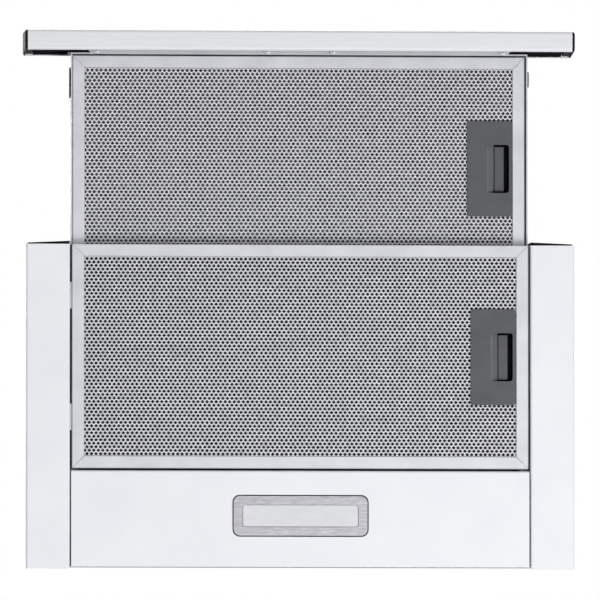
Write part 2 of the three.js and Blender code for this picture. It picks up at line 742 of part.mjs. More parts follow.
function buildFrontBar() {
  const barHalf = barLength / 2 - capThickness;
  const half = caseSheet / 2;
  const section = foldedSheet([
    [barRear - half, level(barHem)], [barRear - half, level(half)], [barFront + half, level(half)],
    [barFront + half, level(barHeight - half)], [barTopRear, level(barHeight - half)],
  ], caseSheet);
  const holes = buttonPlaces().map((x) => buttonHole(x, buttonPlay, barFront - 1, barFront + 3));
  addPiece('front_bar', cut(alongX(section, -barHalf, barHalf), ...holes), 'whitePaint');

  const outerY = barFront + caseSheet + fitGap;
  const webY = outerY + carrierWeb;
  const armEnd = wallFront - 2;
  const ribEnd = wallFront - fitGap;
  const lowest = caseSheet + fitGap;
  const highest = barHeight - caseSheet - fitGap;
  const lipY = barRear - caseSheet - fitGap;
  const carrierSection = shapeOf([
    [outerY, lowest + 1], [outerY + 1, lowest], [lipY - 1, lowest], [lipY, lowest + 1],
    [lipY, lowest + carrierArm], [webY, lowest + carrierArm],
    [webY, carrierRibHeight], [ribEnd, carrierRibHeight],
    [ribEnd, carrierRibHeight + carrierRib], [webY, carrierRibHeight + carrierRib],
    [webY, highest - carrierArm], [armEnd, highest - carrierArm], [armEnd, highest],
    [outerY + 1, highest], [outerY, highest - 1],
  ].map(([y, height]) => [y, level(height)]));
  const carrierHalf = barHalf - capPlug - fitGap;
  const windows = buttonPlaces().map((x) => buttonHole(x, 2 * buttonPlay, outerY - 1, webY + 1));
  const screwHoles = screwPlaces().map((x) => drum(x, screwY, screwHole,
    level(carrierRibHeight - 1), level(carrierRibHeight + carrierRib + 1), 8));
  const ribTrims = sides.map(([, side]) => {
    const [x0, x1] = [side * (drawerOuter + fitGap), side * (carrierHalf + 1)].sort((a, b) => a - b);
    return block(x0, x1, barRear, wallFront, level(carrierRibHeight - 1),
      level(carrierRibHeight + carrierRib + 1));
  });
  const openings = [...windows, ...screwHoles, ...ribTrims];
  const carrier = alongX(carrierSection, -carrierHalf, carrierHalf);
  addPiece('bar_carrier', cut(carrier, ...openings), 'blackPlastic');

  const switchFront = webY + fitGap;
  const first = buttonPlaces()[0] - buttonPitch / 2;
  const last = buttonPlaces()[buttonCount - 1] + buttonPitch / 2;
  const switchBottom = level(carrierRibHeight + carrierRib) + fitGap;
  const pocketEnd = switchFront + buttonTravel + 1;
  const pockets = buttonPlaces().map((x) => buttonHole(x, 2 * buttonPlay, switchFront - 1, pocketEnd));
  addPiece('switch_block', cut(block(first, last, switchFront, switchFront + switchDepth,
    switchBottom, switchBottom + switchHeight), ...pockets), 'blackPlastic');

  buttonPlaces().forEach((x, i) => {
    const cap = alongY(roundedRectangle(x - buttonWidth / 2, x + buttonWidth / 2,
      level(buttonRowZ - buttonHeight / 2), level(buttonRowZ + buttonHeight / 2), 1.5),
    barFront - buttonProud, switchFront + 0.6, 2);
    addPiece(`push_button_${i + 1}`, cap, 'whitePlastic');
  });
}

function buildEndCaps() {
  const barHalf = barLength / 2 - capThickness;
  const outline = (inset) => {
    const [low, high] = [level(inset), level(barHeight - inset)];
    return shapeOf([
      [barFront + inset, low + 2], [barFront + inset + 2, low], [barRear - inset - 2, low],
      [barRear - inset, low + 2], [barTopRear - inset, high - 2], [barTopRear - inset - 2, high],
      [barFront + inset + 2, high], [barFront + inset, high - 2],
    ]);
  };
  sides.forEach(([name, side]) => {
    const span = (a, b) => [side * a, side * b].sort((p, q) => p - q);
    const [p0, p1] = span(barHalf + fitGap / 2, barLength / 2 - capCrown);
    const [c0, c1] = span(barLength / 2 - capCrown - 0.1, barLength / 2);
    const [g0, g1] = span(barHalf - capPlug, barHalf + fitGap);
    const plate = alongX(outline(0), p0, p1);
    const crown = alongX(outline(capCrown), c0, c1);
    const plug = cut(alongX(outline(caseSheet + fitGap), g0, g1),
      alongX(outline(caseSheet + fitGap + carrierWeb), side > 0 ? g0 - 1 : g0, side > 0 ? g1 : g1 + 1));
    addPiece(`end_cap_${name}`, join(plate, crown, plug), 'blackPlastic');
  });
}

// ---- Grease filter, built about the middle of its lower face ----------------------------------------

function filterFrame({ half, x, wallX, wallSheet }) {
  const h = filterHeight;
  const w = filterWall;
  const b = filterBorder;
  const section = [
    [0, 0.6], [0.6, 0], [b - 0.4, 0], [b, 0.4], [b, w], [w, w], [w, h - w], [b, h - w],
    [b, h - 0.4], [b - 0.4, h], [0.6, h], [0, h - 0.6],
  ];
  const halfY = filterDepth / 2;
  const groove = (sx, sy) => {
    const length = Math.hypot(b, b) + 2;
    const angle = Math.atan2(sy, sx);
    return [[-1, mitreGroove], [h - mitreGroove, h + 1]].map(([z0, z1]) => {
      const geometry = new THREE.BoxGeometry(length, mitreGroove, z1 - z0).rotateZ(angle);
      return solidOf(geometry.translate(sx * (half - b / 2), sy * (halfY - b / 2), (z0 + z1) / 2));
    });
  };
  const grooves = [[-1, -1], [1, -1], [1, 1], [-1, 1]].flatMap(([sx, sy]) => groove(sx, sy));
  const tongueSlot = block(half - 2 * w, half + 1, -tongueWidth / 2 - fitGap,
    tongueWidth / 2 + fitGap, latchFloor - fitGap, latchFloor + latchSheet + fitGap);
  const tabEnd = -wallX - tabEngage * wallSheet - x;
  const tabs = [-1, 1].map((end) => block(tabEnd, -half + w / 2,
    end * tabSpacing / 2 - tabLength / 2, end * tabSpacing / 2 + tabLength / 2,
    filterPivotHeight - tabSheet / 2, filterPivotHeight + tabSheet / 2));
  return join(cut(mitredFrame(section, half, halfY), ...grooves, tongueSlot), ...tabs);
}

// The latch's places along x.
function latchPlaces(half) {
  const plateRight = half - filterBorder - fitGap;
  const recessRight = plateRight - recessMargin;
  const recessLeft = recessRight - recessWidth;
  const latchLeft = recessLeft - sliderOverlap;
  const trayLeft = latchLeft - springRoom;
  return { plateRight, plateLeft: plateRight - plateWidth, recessRight, recessLeft, latchLeft, trayLeft };
}

const trayHalf = recessLength / 2 + 0.8;

// Expanded sheet, drawn coarse: offset rows of lozenges through the mesh pack.
function filterMesh({ half }) {
  const meshCutLeft = latchPlaces(half).trayLeft - trayWall - fitGap;
  const halfX = half - filterWall - fitGap;
  const halfY = filterDepth / 2 - filterWall - fitGap;
  const slab = roundedRectangle(-halfX, halfX, -halfY, halfY, 1);
  const openX = half - filterBorder - 2;
  const openY = filterDepth / 2 - filterBorder - 2;
  const pitchX = 2 * openX / grilleColumns;
  const pitchY = 2 * openY / grilleRows;
  const lozengeX = pitchX / 2 - grilleWeb / 2;
  const lozengeY = pitchY - grilleWeb / 2;
  for (let row = 0; row < grilleRows * 2 - 1; row += 1) {
    const y = -openY + pitchY / 2 * (row + 1);
    const shift = row % 2;
    for (let column = 0; column < grilleColumns - shift; column += 1) {
      const x = -openX + pitchX * (column + 0.5 + shift / 2);
      const nearLatch = x + lozengeX > meshCutLeft - 1 && Math.abs(y) - lozengeY / 2 < plateLength / 2 + 1;
      if (!nearLatch) {
        slab.holes.push(new THREE.Path([
          new THREE.Vector2(x - lozengeX, y), new THREE.Vector2(x, y - lozengeY / 2),
          new THREE.Vector2(x + lozengeX, y), new THREE.Vector2(x, y + lozengeY / 2),
        ]));
      }
    }
  }
  const latchRoom = block(meshCutLeft, halfX + 1, -trayHalf - trayWall - fitGap, trayHalf + trayWall + fitGap,
    meshLower - 1, meshUpper + 1);
  return cut(alongZ(slab, meshLower, meshUpper, 1), latchRoom);
}

function latchPlate({ half }) {
  const { plateRight, plateLeft, recessRight, recessLeft, trayLeft } = latchPlaces(half);
  const halfLength = plateLength / 2;
  const face = alongZ(roundedRectangle(plateLeft, plateRight, -halfLength, halfLength, 2), 0, plateSheet);
  const trayOuter = trayHalf + trayWall;
  const trayTop = filterHeight - fitGap;
  const tray = block(trayLeft - trayWall, plateRight, -trayOuter, trayOuter, 0, trayTop);
  const cavity = block(trayLeft, plateRight + 1, -trayHalf, trayHalf, plateSheet, trayTop - trayWall / 2);
  const window = alongZ(roundedRectangle(recessLeft, recessRight, -recessLength / 2, recessLength / 2, 2.5),
    -1, plateSheet + 1);
  return cut(join(face, tray), cavity, window);
}

// A finger pull: a sloped band at the left, a floor, and the tongue on the right.
function latchSlider({ half, x, tongueEnd }) {
  const { recessRight, recessLeft, latchLeft } = latchPlaces(half);
  const bandLow = plateSheet + fitGap;
  const floorEnd = recessRight - latchFloorEnd;
  const section = shapeOf([
    [latchLeft, bandLow], [recessLeft + 0.8, bandLow], [recessLeft + bandWidth, latchFloor],
    [floorEnd, latchFloor], [floorEnd, latchFloor + latchSheet], [latchLeft, latchFloor + latchSheet],
  ]);
  const pull = alongY(section, -trayHalf + fitGap, trayHalf - fitGap);
  const tongue = block(floorEnd - 1, tongueEnd - x, -tongueWidth / 2, tongueWidth / 2,
    latchFloor, latchFloor + latchSheet);
  return join(pull, tongue);
}

function buildFilter(name) {
  const place = filters[name];
  const filter = new THREE.Group();
  filter.position.set(place.x, place.y, place.z);
  hood.add(filter);
  addPiece(`${name}_filter_frame`, filterFrame(place), 'aluminium', filter);
  addPiece(`${name}_filter_mesh`, filterMesh(place), 'aluminium', filter);
  addPiece(`${name}_latch_plate`, latchPlate(place), 'darkPlastic', filter);
  addPiece(`${name}_latch_slider`, latchSlider(place), 'darkPlastic', filter);
}

// ---- Upper case and blower --------------------------------------------------------------------------

const upperOutline = (grow) => roundedRectangle(-upperHalf - grow, upperHalf + grow,
  upperFront - grow, upperRear + Math.min(grow, upperRearInset - caseInset), Math.max(upperCorner + grow, 1));

function buildUpperCase() {
  const inner = alongZ(upperOutline(-caseSheet), -1, upperHeight - caseSheet);
  const flange = alongZ(upperOutline(upperFlange), onPlatform, onPlatform + caseSheet);
  const beads = sides.map(([, side]) => {
    const x = side * beadSpread;
    const [y0, y1] = [upperFront + beadFromFront, upperRear - beadFromRear];
    return alongZ(roundedRectangle(x - beadWidth / 2, x + beadWidth / 2, y0, y1, beadWidth / 2 - 0.5),
      upperHeight - 0.5, upperHeight + beadHeight, 2);
  });
  const [holeLow, holeHigh] = [upperHeight - 10, upperHeight + 10];
  const outlet = drum(0, outletY, outletRadius - outletWall + fitGap, holeLow, holeHigh, 24);
  const glandHole = drum(glandX, upperRear - glandFromRear, glandRadius, holeLow, holeHigh, 12);
  const shell = join(alongZ(upperOutline(0), onPlatform, upperHeight), flange);
  addPiece('upper_case', cut(join(cut(shell, inner), ...beads), outlet, glandHole), 'greyPaint');

  const glandZ = upperHeight + fitGap;
  const under = upperHeight - caseSheet - fitGap;
  addPiece('cable_gland', turned([
    [4, under - 3], [glandRadius + 2, under - 3], [glandRadius + 2, under], [glandRadius - 0.5, under],
    [glandRadius - 0.5, glandZ], [glandRadius + 3, glandZ], [glandRadius + 2.4, glandZ + 2.5],
    [glandRadius - 1.5, glandZ + 5], [4, glandZ + 5],
  ], glandX, upperRear - glandFromRear, 12), 'blackPlastic');
}

// One side of the twin scroll, from its cut-off round to the throat that meets the other side.
function scrollOutline(side, grow) {
  const [cutOff, last] = [Math.PI * 5 / 6, Math.PI * 5 / 2];
  const steps = 15;
  const points = [];
  for (let i = 0; i <= steps; i += 1) {
    const share = i / steps;
    const angle = cutOff + (last - cutOff) * share;
    const radius = scrollStart + scrollGrowth * share + grow;
    points.push([impellerX + radius * Math.cos(angle), impellerY + radius * Math.sin(angle)]);
  }
  points.push([-1, impellerY + scrollEnd + grow]);
  points.push([-1, points[0][1] + 0]);
  return shapeOf(mirrored(points, side));
}

const blowerOutline = (grow, z0, z1) => join(
  alongZ(scrollOutline(1, grow), z0, z1), alongZ(scrollOutline(-1, grow), z0, z1),
  drum(0, outletY, chamberRadius + grow, z0, z1, 24));

function buildBlower() {
  const floorTop = scrollFloorZ + scrollWall;
  const outer = blowerOutline(scrollWall, scrollFloorZ, scrollFloorZ + scrollHeight);
  const inner = blowerOutline(0, floorTop, scrollFloorZ + scrollHeight + 1);
  const inletHoles = sides.map(([, side]) => (
    drum(side * impellerX, impellerY, inletRadius + scrollWall, 0, floorTop + 1, 20)));
  const inletRings = sides.map(([, side]) => turned([
    [inletRadius + inletFlare, scrollFloorZ], [inletRadius + inletFlare, floorTop],
    [inletRadius + scrollWall, floorTop + 5], [inletRadius + scrollWall, inletTop],
    [inletRadius, inletTop], [inletRadius, floorTop + 4], [inletRadius + 4, scrollFloorZ],
  ], side * impellerX, impellerY, 20));
  addPiece('scroll_housing', join(cut(outer, inner, ...inletHoles), ...inletRings), 'blackPlastic');

  const plate = blowerOutline(scrollWall, coverZ, coverZ + coverSheet);
  const motorHoles = sides.map(([, side]) => (
    drum(side * impellerX, impellerY, motorRadius + 1, coverZ - 1, coverZ + coverSheet + 1, 20)));
  const neckTop = upperHeight - caseSheet - fitGap;
  const neck = drum(0, outletY, chamberRadius + scrollWall, coverZ, neckTop, 24);
  const bore = drum(0, outletY, chamberRadius, coverZ - 1, neckTop + 1, 24);
  addPiece('scroll_cover', cut(join(plate, neck), bore, ...motorHoles), 'blackPlastic');
}

function impeller() {
  const backTop = impellerTop;
  const domeRadius = motorRadius + domeGap;
  const hubBottom = motorBottom - shaftBelow;
  const hubTop = hubBottom + hubHeight;
  const domeZ = motorBottom - domeGap;
  const bladeInner = impellerRadius - bladeDepth;
  const back = turned([
    [shaftRadius + shaftGap, hubBottom], [hubRadius, hubBottom], [hubRadius, hubTop - 2],
    [domeRadius, domeZ - 1.5], [domeRadius + 1.5, domeZ], [domeRadius + 1.5, backTop - 1.6],
    [impellerRadius, backTop - 1.6], [impellerRadius, backTop], [domeRadius, backTop],
    [domeRadius, domeZ], [hubRadius, hubTop], [shaftRadius + shaftGap, hubTop],
  ], 0, 0, 20);
  const rim = turned([
    [impellerRadius - 3, impellerBottom], [impellerRadius, impellerBottom],
    [impellerRadius, impellerBottom + rimHeight], [impellerRadius - 3, impellerBottom + rimHeight],
  ], 0, 0, 20);
  const curve = [0, 0.55, 1].map((share) => {
    const radius = bladeInner + (bladeDepth - 0.8) * share;
    const angle = 0.2 * share * share + 0.03 * share;
    return [radius, angle];
  });
  const edge = (shift) => curve.map(([radius, angle]) => (
    [radius * Math.cos(angle + shift / radius), radius * Math.sin(angle + shift / radius)]));
  const bladeShape = shapeOf([...edge(-bladeSheet / 2), ...edge(bladeSheet / 2).reverse()]);
  const blades = Array.from({ length: bladeCount }, (_, i) => {
    const geometry = new THREE.ExtrudeGeometry(bladeShape, {
      depth: impellerHeight - 1.5, bevelEnabled: false,
    });
    return solidOf(geometry.rotateZ(i / bladeCount * Math.PI * 2).translate(0, 0, impellerBottom + 0.7));
  });
  return join(back, rim, ...blades);
}

function buildImpellersAndMotors() {
  const flangeZ = coverZ + coverSheet + fitGap;
  const motorTop = flangeZ + motorAbove;
  const r = motorRadius;
  sides.forEach(([name, side]) => {
    const x = side * impellerX;
    const wheel = new THREE.Group();
    wheel.position.set(x, impellerY, 0);
    hood.add(wheel);
    addPiece(`impeller_${name}`, impeller(), 'blackPlastic', wheel);
    const shaftLow = motorBottom - shaftBelow + 1;
    const shaft = drum(x, impellerY, shaftRadius, shaftLow, motorBottom + shaftInside, 12);
    addPiece(`motor_shaft_${name}`, shaft, 'zincSteel');
    const body = turned([
      [0, motorBottom + shaftInside + 1], [shaftRadius + shaftGap, motorBottom + shaftInside + 1],
      [shaftRadius + shaftGap, motorBottom], [r - 6, motorBottom], [r, motorBottom + 6],
      [r, flangeZ], [r + motorFlange, flangeZ], [r + motorFlange, flangeZ + 1.5], [r, flangeZ + 1.5],
      [r, motorTop - 4], [r - 4, motorTop], [motorBoss, motorTop], [motorBoss, motorTop + 2],
      [0, motorTop + 2],
    ], x, impellerY, 16);
    addPiece(`motor_${name}`, body, 'zincSteel');
  });
}

// ---- Outlet with its back-draught flaps ---------------------------------------------------------------

function buildOutlet() {
  const inside = outletRadius - outletWall;
  const base = upperHeight + fitGap;
  const pinZ = base + outletFlangeSheet + flapPinRise;
  const top = upperHeight + outletHeight;
  const ledgeTop = pinZ - flapSheet / 2 - fitGap;
  const collar = turned([
    [inside - fitGap - outletWall, base - spigotDepth], [inside - fitGap, base - spigotDepth],
    [inside - fitGap, base], [outletRadius + outletFlange, base],
    [outletRadius + outletFlange, base + outletFlangeSheet], [outletRadius, base + outletFlangeSheet],
    [outletRadius, top - 1], [outletRadius - 0.6, top], [inside, top], [inside, ledgeTop],
    [inside - flapLedge, ledgeTop - 1], [inside - fitGap - outletWall, base],
  ], 0, outletY, 24);
  const pinHalf = inside - fitGap;
  const bosses = [-1, 1].map((end) => {
    const [y0, y1] = [end * (pinHalf - 4), end * (inside + 0.6)].sort((a, b) => a - b);
    return alongY(circle(0, pinZ, knuckleRadius), outletY + y0, outletY + y1, 4);
  });
  const boreHalf = pinHalf + 0.1;
  const bore = alongY(circle(0, pinZ, flapPinRadius + fitGap), outletY - boreHalf, outletY + boreHalf, 6);
  addPiece('outlet_collar', cut(join(collar, ...bosses), bore), 'blackPlastic');
  const pin = alongY(circle(0, pinZ, flapPinRadius), outletY - pinHalf, outletY + pinHalf, 6);
  addPiece('flap_pin', pin, 'zincSteel');

  const knuckle = knuckleSpan / knuckleCount;
  const flapRadius = inside - flapEdgeGap / 2;
  sides.forEach(([name, side]) => {
    const startX = knuckleRadius + flapHingeGap;
    const limit = Math.acos(startX / flapRadius);
    const half = new THREE.Shape();
    const middle = side > 0 ? 0 : Math.PI;
    half.absarc(0, outletY, flapRadius, middle - limit, middle + limit);
    half.closePath();
    const plate = alongZ(half, pinZ - flapSheet / 2, pinZ + flapSheet / 2, 12);
    const rib = block(...[side * flapRibStart, side * (flapRadius - 4)].sort((a, b) => a - b),
      outletY - 0.8, outletY + 0.8, pinZ, pinZ + flapRibHeight);
    const knuckles = Array.from({ length: knuckleCount }, (_, i) => i)
      .filter((i) => i % 2 === (side > 0 ? 1 : 0))
      .map((i) => {
        const y0 = outletY - knuckleSpan / 2 + i * knuckle + fitGap;
        const y1 = y0 + knuckle - 2 * fitGap;
        const barrel = alongY(circle(0, pinZ, knuckleRadius), y0, y1, 4);
        const arm = block(...[side * 2, side * (startX + 1)].sort((a, b) => a - b), y0, y1,
          pinZ - flapSheet / 2, pinZ + flapSheet / 2);
        return join(barrel, arm);
      });
    const pinBore = alongY(circle(0, pinZ, flapPinRadius + fitGap), outletY - inside, outletY + inside, 6);
    addPiece(`flap_${name}`, cut(join(plate, rib, ...knuckles), pinBore), 'whitePlastic');
  });
}

// ---- Electrical pieces and brackets -------------------------------------------------------------------

function buildElectrics() {
  const wallY = upperFront + caseSheet;
  const scrollFront = impellerY - scrollEnd - scrollWall;
  const room = scrollFront - wallY;
  const capacitorY = wallY + room / 2;
  const r = Math.min(capacitorRadius, room / 2 - fitGap);
  const foot = onPlatform;
  addPiece('capacitor', turned([
    [0, foot], [r, foot], [r, foot + capacitorHeight - 1.5], [r - 1, foot + capacitorHeight],
    [3, foot + capacitorHeight], [3, foot + capacitorHeight + 6], [0, foot + capacitorHeight + 6],
  ], capacitorX, capacitorY, 16), 'whitePlastic');

  const [x0, x1] = [controlX - controlWidth / 2, controlX + controlWidth / 2];
  const [y0, y1] = [wallY + fitGap, wallY + room - controlClearance];
  const boxBlock = (inset, z0, z1) => block(x0 + inset, x1 - inset, y0 + inset, y1 - inset, z0, z1);
  const boxTop = foot + controlHeight;
  const box = cut(boxBlock(0, foot, boxTop), boxBlock(controlWall, foot + controlWall, boxTop + 1));
  addPiece('control_box', box, 'whitePlastic');
  const lidZ = boxTop + fitGap;
  const lid = join(boxBlock(0, lidZ, lidZ + controlWall),
    boxBlock(controlWall + fitGap, lidZ - lidPlug, lidZ + controlWall / 2));
  addPiece('control_box_lid', lid, 'whitePlastic');

  const shutRear = drawerRear + drawerTravel;
  const plungerZ = level(drawerTop) - drawerSheet - rearFoldHeight / 2;
  const tipY = shutRear + plungerGap;
  const bodyY = tipY + plungerTravel + 1;
  const hang = underPlatform;
  const [s0, s1] = [drawerSwitchX - drawerSwitchWidth / 2, drawerSwitchX + drawerSwitchWidth / 2];
  const socket = alongY(circle(drawerSwitchX, plungerZ, plungerRadius + fitGap), bodyY - 1,
    bodyY + drawerSwitchSocket, 5);
  addPiece('drawer_switch', cut(block(s0, s1, bodyY, bodyY + drawerSwitchDepth,
    Math.min(hang - drawerSwitchHeight, plungerZ - plungerRadius - 2), hang), socket), 'blackPlastic');
  addPiece('switch_plunger', alongY(circle(drawerSwitchX, plungerZ, plungerRadius), tipY,
    bodyY + drawerSwitchPlug, 5),
    'whitePlastic');
}

function buildCabinetBrackets() {
  const reach = cabinetInnerWidth / 2 - cabinetPlay - bracketSheet / 2;
  const foot = onPlatform + bracketSheet / 2;
  const inner = upperHalf + upperFlange + 3;
  const middle = (upperFront + upperRear) / 2;
  const [y0, y1] = [middle - bracketLength / 2, middle + bracketLength / 2];
  sides.forEach(([name, side]) => {
    const section = foldedSheet(mirrored([[inner, foot], [reach, foot], [reach, bracketHeight]], side),
      bracketSheet);
    const slots = [-1, 1].map((end) => {
      const y = middle + end * bracketLength / 4;
      const top = bracketHeight - bracketSlotFromTop;
      return alongX(roundedRectangle(y - bracketSlotWidth / 2, y + bracketSlotWidth / 2,
        top - bracketSlotLength, top, bracketSlotWidth / 2 - 0.1), side * reach - 3, side * reach + 3, 2);
    });
    addPiece(`cabinet_bracket_${name}`, cut(alongY(section, y0, y1), ...slots), 'zincSteel');
  });
}

buildLowerCase();
buildSidePanels();
buildFrontTrims();
buildRearPanel();
buildLamp();
buildRails();
buildDrawer();
buildFrontBar();
buildEndCaps();
Object.keys(filters).forEach(buildFilter);
buildUpperCase();
buildBlower();
buildImpellersAndMotors();
buildOutlet();
buildElectrics();
buildCabinetBrackets();

export default hood;
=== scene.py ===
# A slim pull-out range hood seen from below, with its filter drawer drawn fully out.
import json
import math

import bmesh
import bpy
from mathutils import Matrix, Vector


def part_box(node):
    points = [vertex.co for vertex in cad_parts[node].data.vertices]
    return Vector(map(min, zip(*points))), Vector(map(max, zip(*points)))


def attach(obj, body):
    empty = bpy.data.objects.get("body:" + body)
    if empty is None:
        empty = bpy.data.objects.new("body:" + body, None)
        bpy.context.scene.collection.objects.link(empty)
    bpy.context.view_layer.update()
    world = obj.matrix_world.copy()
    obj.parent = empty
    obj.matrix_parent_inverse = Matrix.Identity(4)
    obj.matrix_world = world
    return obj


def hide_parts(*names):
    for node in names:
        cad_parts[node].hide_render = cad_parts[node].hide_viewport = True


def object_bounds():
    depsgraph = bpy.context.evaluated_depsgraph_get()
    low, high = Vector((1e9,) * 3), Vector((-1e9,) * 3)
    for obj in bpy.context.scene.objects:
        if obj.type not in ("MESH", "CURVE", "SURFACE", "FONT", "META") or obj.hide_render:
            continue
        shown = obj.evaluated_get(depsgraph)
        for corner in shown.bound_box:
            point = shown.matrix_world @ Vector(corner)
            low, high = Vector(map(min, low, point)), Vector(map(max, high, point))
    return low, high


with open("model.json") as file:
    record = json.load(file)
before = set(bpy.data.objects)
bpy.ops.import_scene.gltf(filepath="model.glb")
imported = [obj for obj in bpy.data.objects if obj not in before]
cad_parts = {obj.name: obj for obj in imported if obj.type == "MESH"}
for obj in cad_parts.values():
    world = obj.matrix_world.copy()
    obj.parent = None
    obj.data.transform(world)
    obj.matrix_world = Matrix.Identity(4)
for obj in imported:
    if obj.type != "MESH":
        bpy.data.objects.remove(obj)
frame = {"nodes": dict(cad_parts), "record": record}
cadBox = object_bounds()
nodes = frame["nodes"]
record = frame["record"]
bodyOf = {node: body for body, held in record["behaviour"]["bodies"].items() for node in held}
print("frame loaded:", len(nodes), "pieces")

mm = 0.001


# The camera stands far below the hood and looks up at it.
view = {
    "pixel": 0.9038 * mm,  # what one pixel covers at the underside
    "photoSize": 600,
    "distance": 14.0,  # from the underside, in metres
    "yaw": 4.3,  # degrees towards the left, so the left outer faces show
    "pitch": 2.7,  # degrees towards the wall
    "aim": (-0.0005, 0.0301, -0.046),  # what lies in the middle of the picture
    "sensor": 36.0,
    "clipEnd": 60.0,
}

# A pale floor under the hood, two softboxes below it and one above.
stage = {
    "floorDrop": 0.95,  # below the underside
    "floorSize": 16.0,
    "floorColour": "f4f4f5",
    "floorGlow": 0.5,  # share of the floor's paleness that doesn't come from the lamps
    "worldLight": 0.36,  # of the white studio around the hood
    "keyPower": 64.0,
    "keySize": 1.3,
    "keyPlace": (1.1, 1.3, -2.8),
    "fillPower": 9.0,
    "fillSize": 2.6,
    "fillPlace": (-1.1, -1.0, -2.6),
    "topPower": 105.0,
    "topSize": 2.6,
    "topPlace": (-1.2, -1.4, 2.6),
}


# An sRGB hex colour as the linear colour that shaders take.
def linear(hexColour):
    channels = [int(hexColour[i : i + 2], 16) / 255 for i in (0, 2, 4)]
    return [c / 12.92 if c <= 0.04045 else ((c + 0.055) / 1.055) ** 2.4 for c in channels] + [1.0]


# One shader node with its settings, the values of its sockets and what feeds them.
def addNode(tree, kind, settings=(), values=(), feeds=()):
    node = tree.nodes.new(kind)
    for name, value in dict(settings).items():
        setattr(node, name, value)
    for socket, value in dict(values).items():
        node.inputs[socket].default_value = value
    for socket, source in dict(feeds).items():
        tree.links.new(source, node.inputs[socket])
    return node


# Turned by the yaw and the pitch from looking straight up, with the wall side at the bottom of the picture.
def placeCamera():
    yaw, pitch = math.radians(view["yaw"]), math.radians(view["pitch"])
    aim = Vector(view["aim"])
    back = Vector((-math.sin(yaw), math.sin(pitch) * math.cos(yaw), -math.cos(yaw) * math.cos(pitch)))
    data = bpy.data.cameras.new("camera")
    data.sensor_width = view["sensor"]
    data.lens = view["sensor"] * view["distance"] / (view["pixel"] * view["photoSize"])
    data.clip_end = view["clipEnd"]
    camera = bpy.data.objects.new("camera", data)
    bpy.context.scene.collection.objects.link(camera)
    right = Vector((0, -1, 0)).cross(back).normalized()
    up = back.cross(right)
    turn = Matrix((right, up, back)).transposed()
    camera.location = aim + back * view["distance"]
    camera.rotation_euler = turn.to_euler()
    bpy.context.scene.camera = camera
    print("camera placed, lens", round(data.lens, 1))


# A square lamp that faces the middle of the picture.
def addSoftbox(name, place, size, power):
    data = bpy.data.lights.new(name, "AREA")
    data.shape = "SQUARE"
    data.size = size
    data.energy = power
    lamp = bpy.data.objects.new(name, data)
    lamp.location = place
    lamp.rotation_euler = (Vector(view["aim"]) - Vector(place)).to_track_quat("-Z", "Y").to_euler()
    lamp.visible_camera = False
    bpy.context.scene.collection.objects.link(lamp)


# The floor lies below the hood. It shows from above, with the hood's shadow. From below it is clear, and the
# light of the softboxes and the studio passes through it.
def makeStage():
    world = bpy.data.worlds.new("paleStudio")
    bpy.context.scene.world = world
    world.use_nodes = True
    tree = world.node_tree
    tree.nodes.clear()
    path = addNode(tree, "ShaderNodeLightPath")
    seen = addNode(tree, "ShaderNodeMath", {"operation": "MAXIMUM"},
                   feeds={0: path.outputs["Is Camera Ray"], 1: path.outputs["Is Glossy Ray"]})
    seenThrough = addNode(tree, "ShaderNodeMath", {"operation": "MAXIMUM"},
                          feeds={0: seen.outputs[0], 1: path.outputs["Is Transmission Ray"]})
    strength = addNode(tree, "ShaderNodeMapRange", values={"To Min": stage["worldLight"], "To Max": 1.0},
                       feeds={"Value": seenThrough.outputs[0]})
    background = addNode(tree, "ShaderNodeBackground", values={"Color": (1, 1, 1, 1)},
                         feeds={"Strength": strength.outputs[0]})
    addNode(tree, "ShaderNodeOutputWorld", feeds={"Surface": background.outputs[0]})

    material = bpy.data.materials.new("palePaintedFloor")
    material.use_nodes = True
    tree = material.node_tree
    tree.nodes.clear()
    geometry = addNode(tree, "ShaderNodeNewGeometry")
    path = addNode(tree, "ShaderNodeLightPath")
    clear = addNode(tree, "ShaderNodeMath", {"operation": "MAXIMUM"},
                    feeds={0: geometry.outputs["Backfacing"], 1: path.outputs["Is Shadow Ray"]})
    clear = addNode(tree, "ShaderNodeMath", {"operation": "MAXIMUM"},
                    feeds={0: clear.outputs[0], 1: path.outputs["Is Diffuse Ray"]})
    paint = addNode(tree, "ShaderNodeBsdfDiffuse", values={"Color": linear(stage["floorColour"])})
    # Seen by the camera the floor keeps pale far from the lamps too, and still takes the hood's shadow.
    glow = addNode(tree, "ShaderNodeEmission", values={"Color": linear(stage["floorColour"])})
    share = addNode(tree, "ShaderNodeMath", {"operation": "MULTIPLY"}, {1: stage["floorGlow"]},
                    {0: path.outputs["Is Camera Ray"]})
    pale = addNode(tree, "ShaderNodeMixShader",
                   feeds={0: share.outputs[0], 1: paint.outputs[0], 2: glow.outputs[0]})
    through = addNode(tree, "ShaderNodeBsdfTransparent")
    mixed = addNode(tree, "ShaderNodeMixShader",
                    feeds={0: clear.outputs[0], 1: pale.outputs[0], 2: through.outputs[0]})
    addNode(tree, "ShaderNodeOutputMaterial", feeds={"Surface": mixed.outputs[0]})
    bpy.ops.mesh.primitive_plane_add(size=stage["floorSize"],
                                     location=(0, 0, cadBox[0].z - stage["floorDrop"]))
    floor = bpy.context.active_object
    floor.name = "floor"
    floor.data.materials.append(material)

    for name in ("key", "fill", "top"):
        addSoftbox(name, stage[name + "Place"], stage[name + "Size"], stage[name + "Power"])
    bpy.context.scene.view_settings.view_transform = "Standard"
    print("stage ready")


